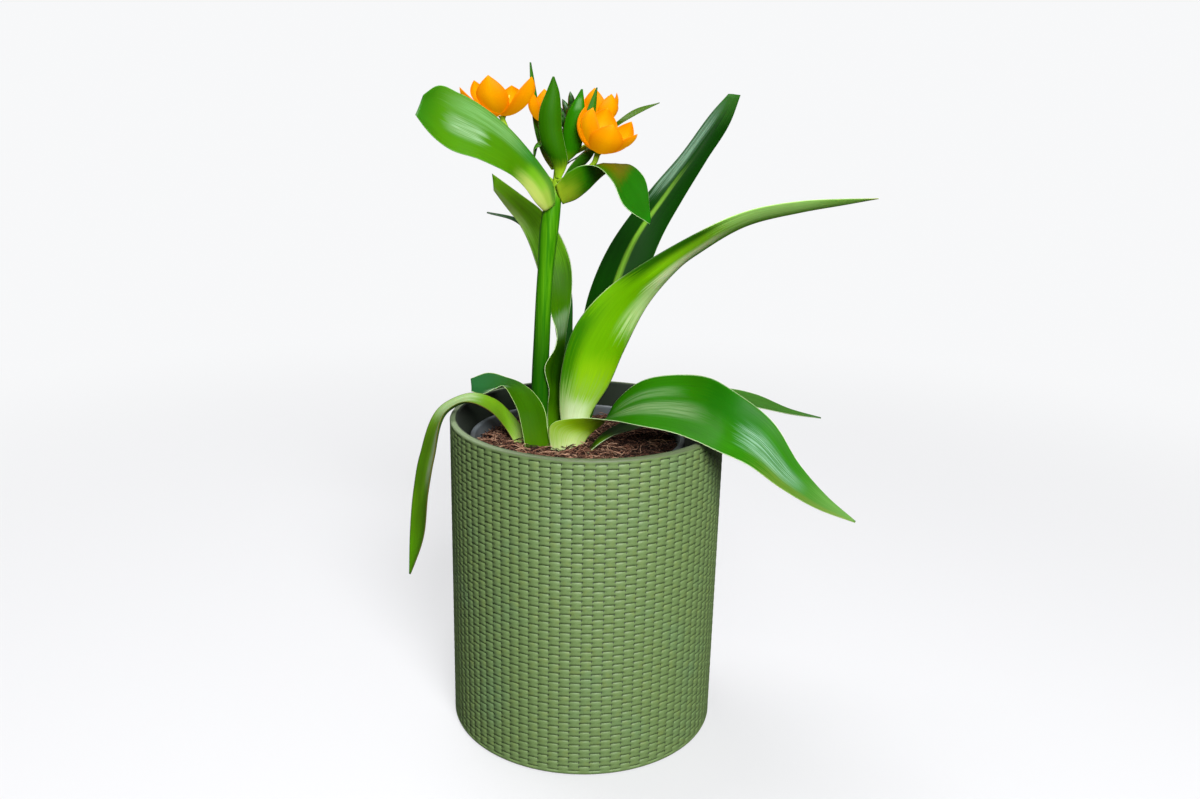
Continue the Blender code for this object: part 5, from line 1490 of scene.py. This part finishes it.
def makePetals(name, flower, skin, draw):
    # the petals and the disc that carries them, as one piece
    foot, axis, _, _ = flowerFrame(flower)
    sheets, form = [], [tepal[part] for part in ("columns", "cupping", "thickness", "keel")]
    for index in range(tepal["count"]):
        turn = flower["turn"] + flower.get("swung", {}).get(index, 0)
        angle = math.radians(turn) + 2 * math.pi * index / tepal["count"]
        rows = tepalRows(flower, index, angle, draw)
        mesh, _ = bladeMesh("tepal", rows, *form)
        sheets.append(newPiece("sheet", fixFacing(mesh), skin))
    parts = lineParts(foot, axis * pistil["discHeight"], pistil["discOutline"], pistil["discSides"])
    disc = joinParts("disc", [parts])
    disc.uv_layers.new(name="blade")
    sheets.append(newPiece("disc", disc, skin))
    with bpy.context.temp_override(active_object=sheets[0], selected_editable_objects=sheets):
        bpy.ops.object.join()
    sheets[0].name = name + "_petals"
    settle(sheets[0], "tepal", name + "_tepals")


def makePistil(name, flower, skin):
    foot, axis, _, _ = flowerFrame(flower)
    plump = pistil["plumpFrom"] + pistil["plumpShare"] * flower["spread"]
    outline = [(share, size * plump) for share, size in pistil["ovary"]] + pistil["style"]

    def lobed(along, angle):
        swell = math.cos(pistil["lobes"] * angle) * math.sin(math.pi * min(1.0, along * 1.6))
        return pistil["lobe"] * swell * (along < pistil["lobesTo"])

    base = foot + axis * pistil["foot"]
    parts = lineParts(base, axis * pistil["length"], outline, pistil["sides"], lobed)
    settle(newPiece(name + "_pistil", joinParts("pistil", [parts]), skin), "ovary", name + "_ovary")


def makeStamens(name, flower, tree):
    foot, axis, _, _ = flowerFrame(flower)
    place = tuple((foot + axis * stamenLook["foot"]) * mm)
    turn = tuple(axis.to_track_quat("Z", "Y").to_euler())
    size = stamenLook["sizeFrom"] + stamenLook["sizeShare"] * flower["spread"]
    ring = grow(name + "_stamens", tree, dict(stamens, Foot=place, Turn=turn, Size=size))
    settle(ring, "tepal", name + "_tepals")


def makeFlowers():
    orange, green = tepalMaterial(), mottledMaterial("ovarySkin", pistil["skin"])
    stamenNodes = stamenTree(mottledMaterial("stamenYellow", stamenLook["skin"]))
    draw = random.Random(tepal["seed"])
    for name, flower in flowers.items():
        makePetals(name, flower, orange, draw)
        makePistil(name, flower, green)
        makeStamens(name, flower, stamenNodes)


# Bud cluster at the tip of the raceme

buds = {
    "count": 13, "seed": 7, "radius": 1.7, "half": 5.2,
    "turn": math.radians(137.5), "firstTurn": 0.6, "lean": math.radians(46), "leanDrop": math.radians(28),
    "start": 0.25, "seat": 0.85, "spread": 0.8,    # where the buds begin on the core, and how far out
    "foot": (-17.2, 10.5, 314.3), "tip": (-10.5, 15.5, 334.0),
    "outline": [(-1.0, 0.3), (-0.8, 0.62), (-0.5, 0.93), (-0.15, 1.0), (0.2, 0.92), (0.5, 0.7), (0.75, 0.38),
                (0.92, 0.15), (1.0, 0.05)],
    "core": [(0.0, 1.8), (0.12, 2.2), (0.5, 1.7), (1.0, 1.0)],
    "sides": 18, "coreSides": 16, "ribs": 6, "rib": 0.16,
    "skin": {
        "colors": ("#0C3606", "#2E6418"), "roughness": 0.4,
        "grain": (420.0, 3.0), "spread": (0.4, 0.7), "relief": (1500.0, 2.0, 0.1, 0.5),
    },
}


def makeBuds():
    draw = random.Random(buds["seed"])
    foot, tip = Vector(buds["foot"]), Vector(buds["tip"])
    parts = [lineParts(foot, tip - foot, buds["core"], buds["coreSides"])]

    def ribbed(along, angle):
        return buds["rib"] * math.cos(buds["ribs"] * angle) * math.sin(math.pi * along)

    outline = [(share, buds["radius"] * size) for share, size in buds["outline"]]
    for index in range(buds["count"]):
        share = (index + 0.5) / buds["count"]
        angle = index * buds["turn"] + buds["firstTurn"]
        lean = buds["lean"] - buds["leanDrop"] * share
        aim = Vector((math.sin(lean) * math.cos(angle), math.sin(lean) * math.sin(angle), math.cos(lean)))
        start = foot.lerp(tip, buds["start"] + (1.0 - buds["start"]) * share)
        middle = start + aim * (buds["half"] * buds["seat"] + buds["spread"] * draw.random())
        parts.append(lineParts(middle, aim * buds["half"], outline, buds["sides"], ribbed))
    skin = mottledMaterial("budSkin", buds["skin"])
    settle(newPiece("budCluster", joinParts("budCluster", parts), skin), "bud", "bud_cluster")


# Bulb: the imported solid, with a papery skin

bulbSkin = {
    "colors": ("#B39A6E", "#E4D6B4"), "roughness": 0.6,
    "grain": (160.0, 4.0), "spread": (0.35, 0.7), "relief": (160.0, 4.0, 0.4, 0.6),
}


def dressBulb():
    material = mottledMaterial("bulbSkin", bulbSkin)
    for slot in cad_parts["bulb"].material_slots:
        slot.material = material


scene.view_settings.view_transform = "Standard"
makeCamera()
makeWorld()
makeLamps()
makeFloor()
print("camera, light and floor stand")
makePlanter()
print("planter woven")
makeNurseryPot()
makeSoil()
print("nursery pot filled")
makeLeaves()
makeBracts()
print("leaves and bracts grown")
makeStem()
makeFlowers()
makeBuds()
dressBulb()
print("flowers open")
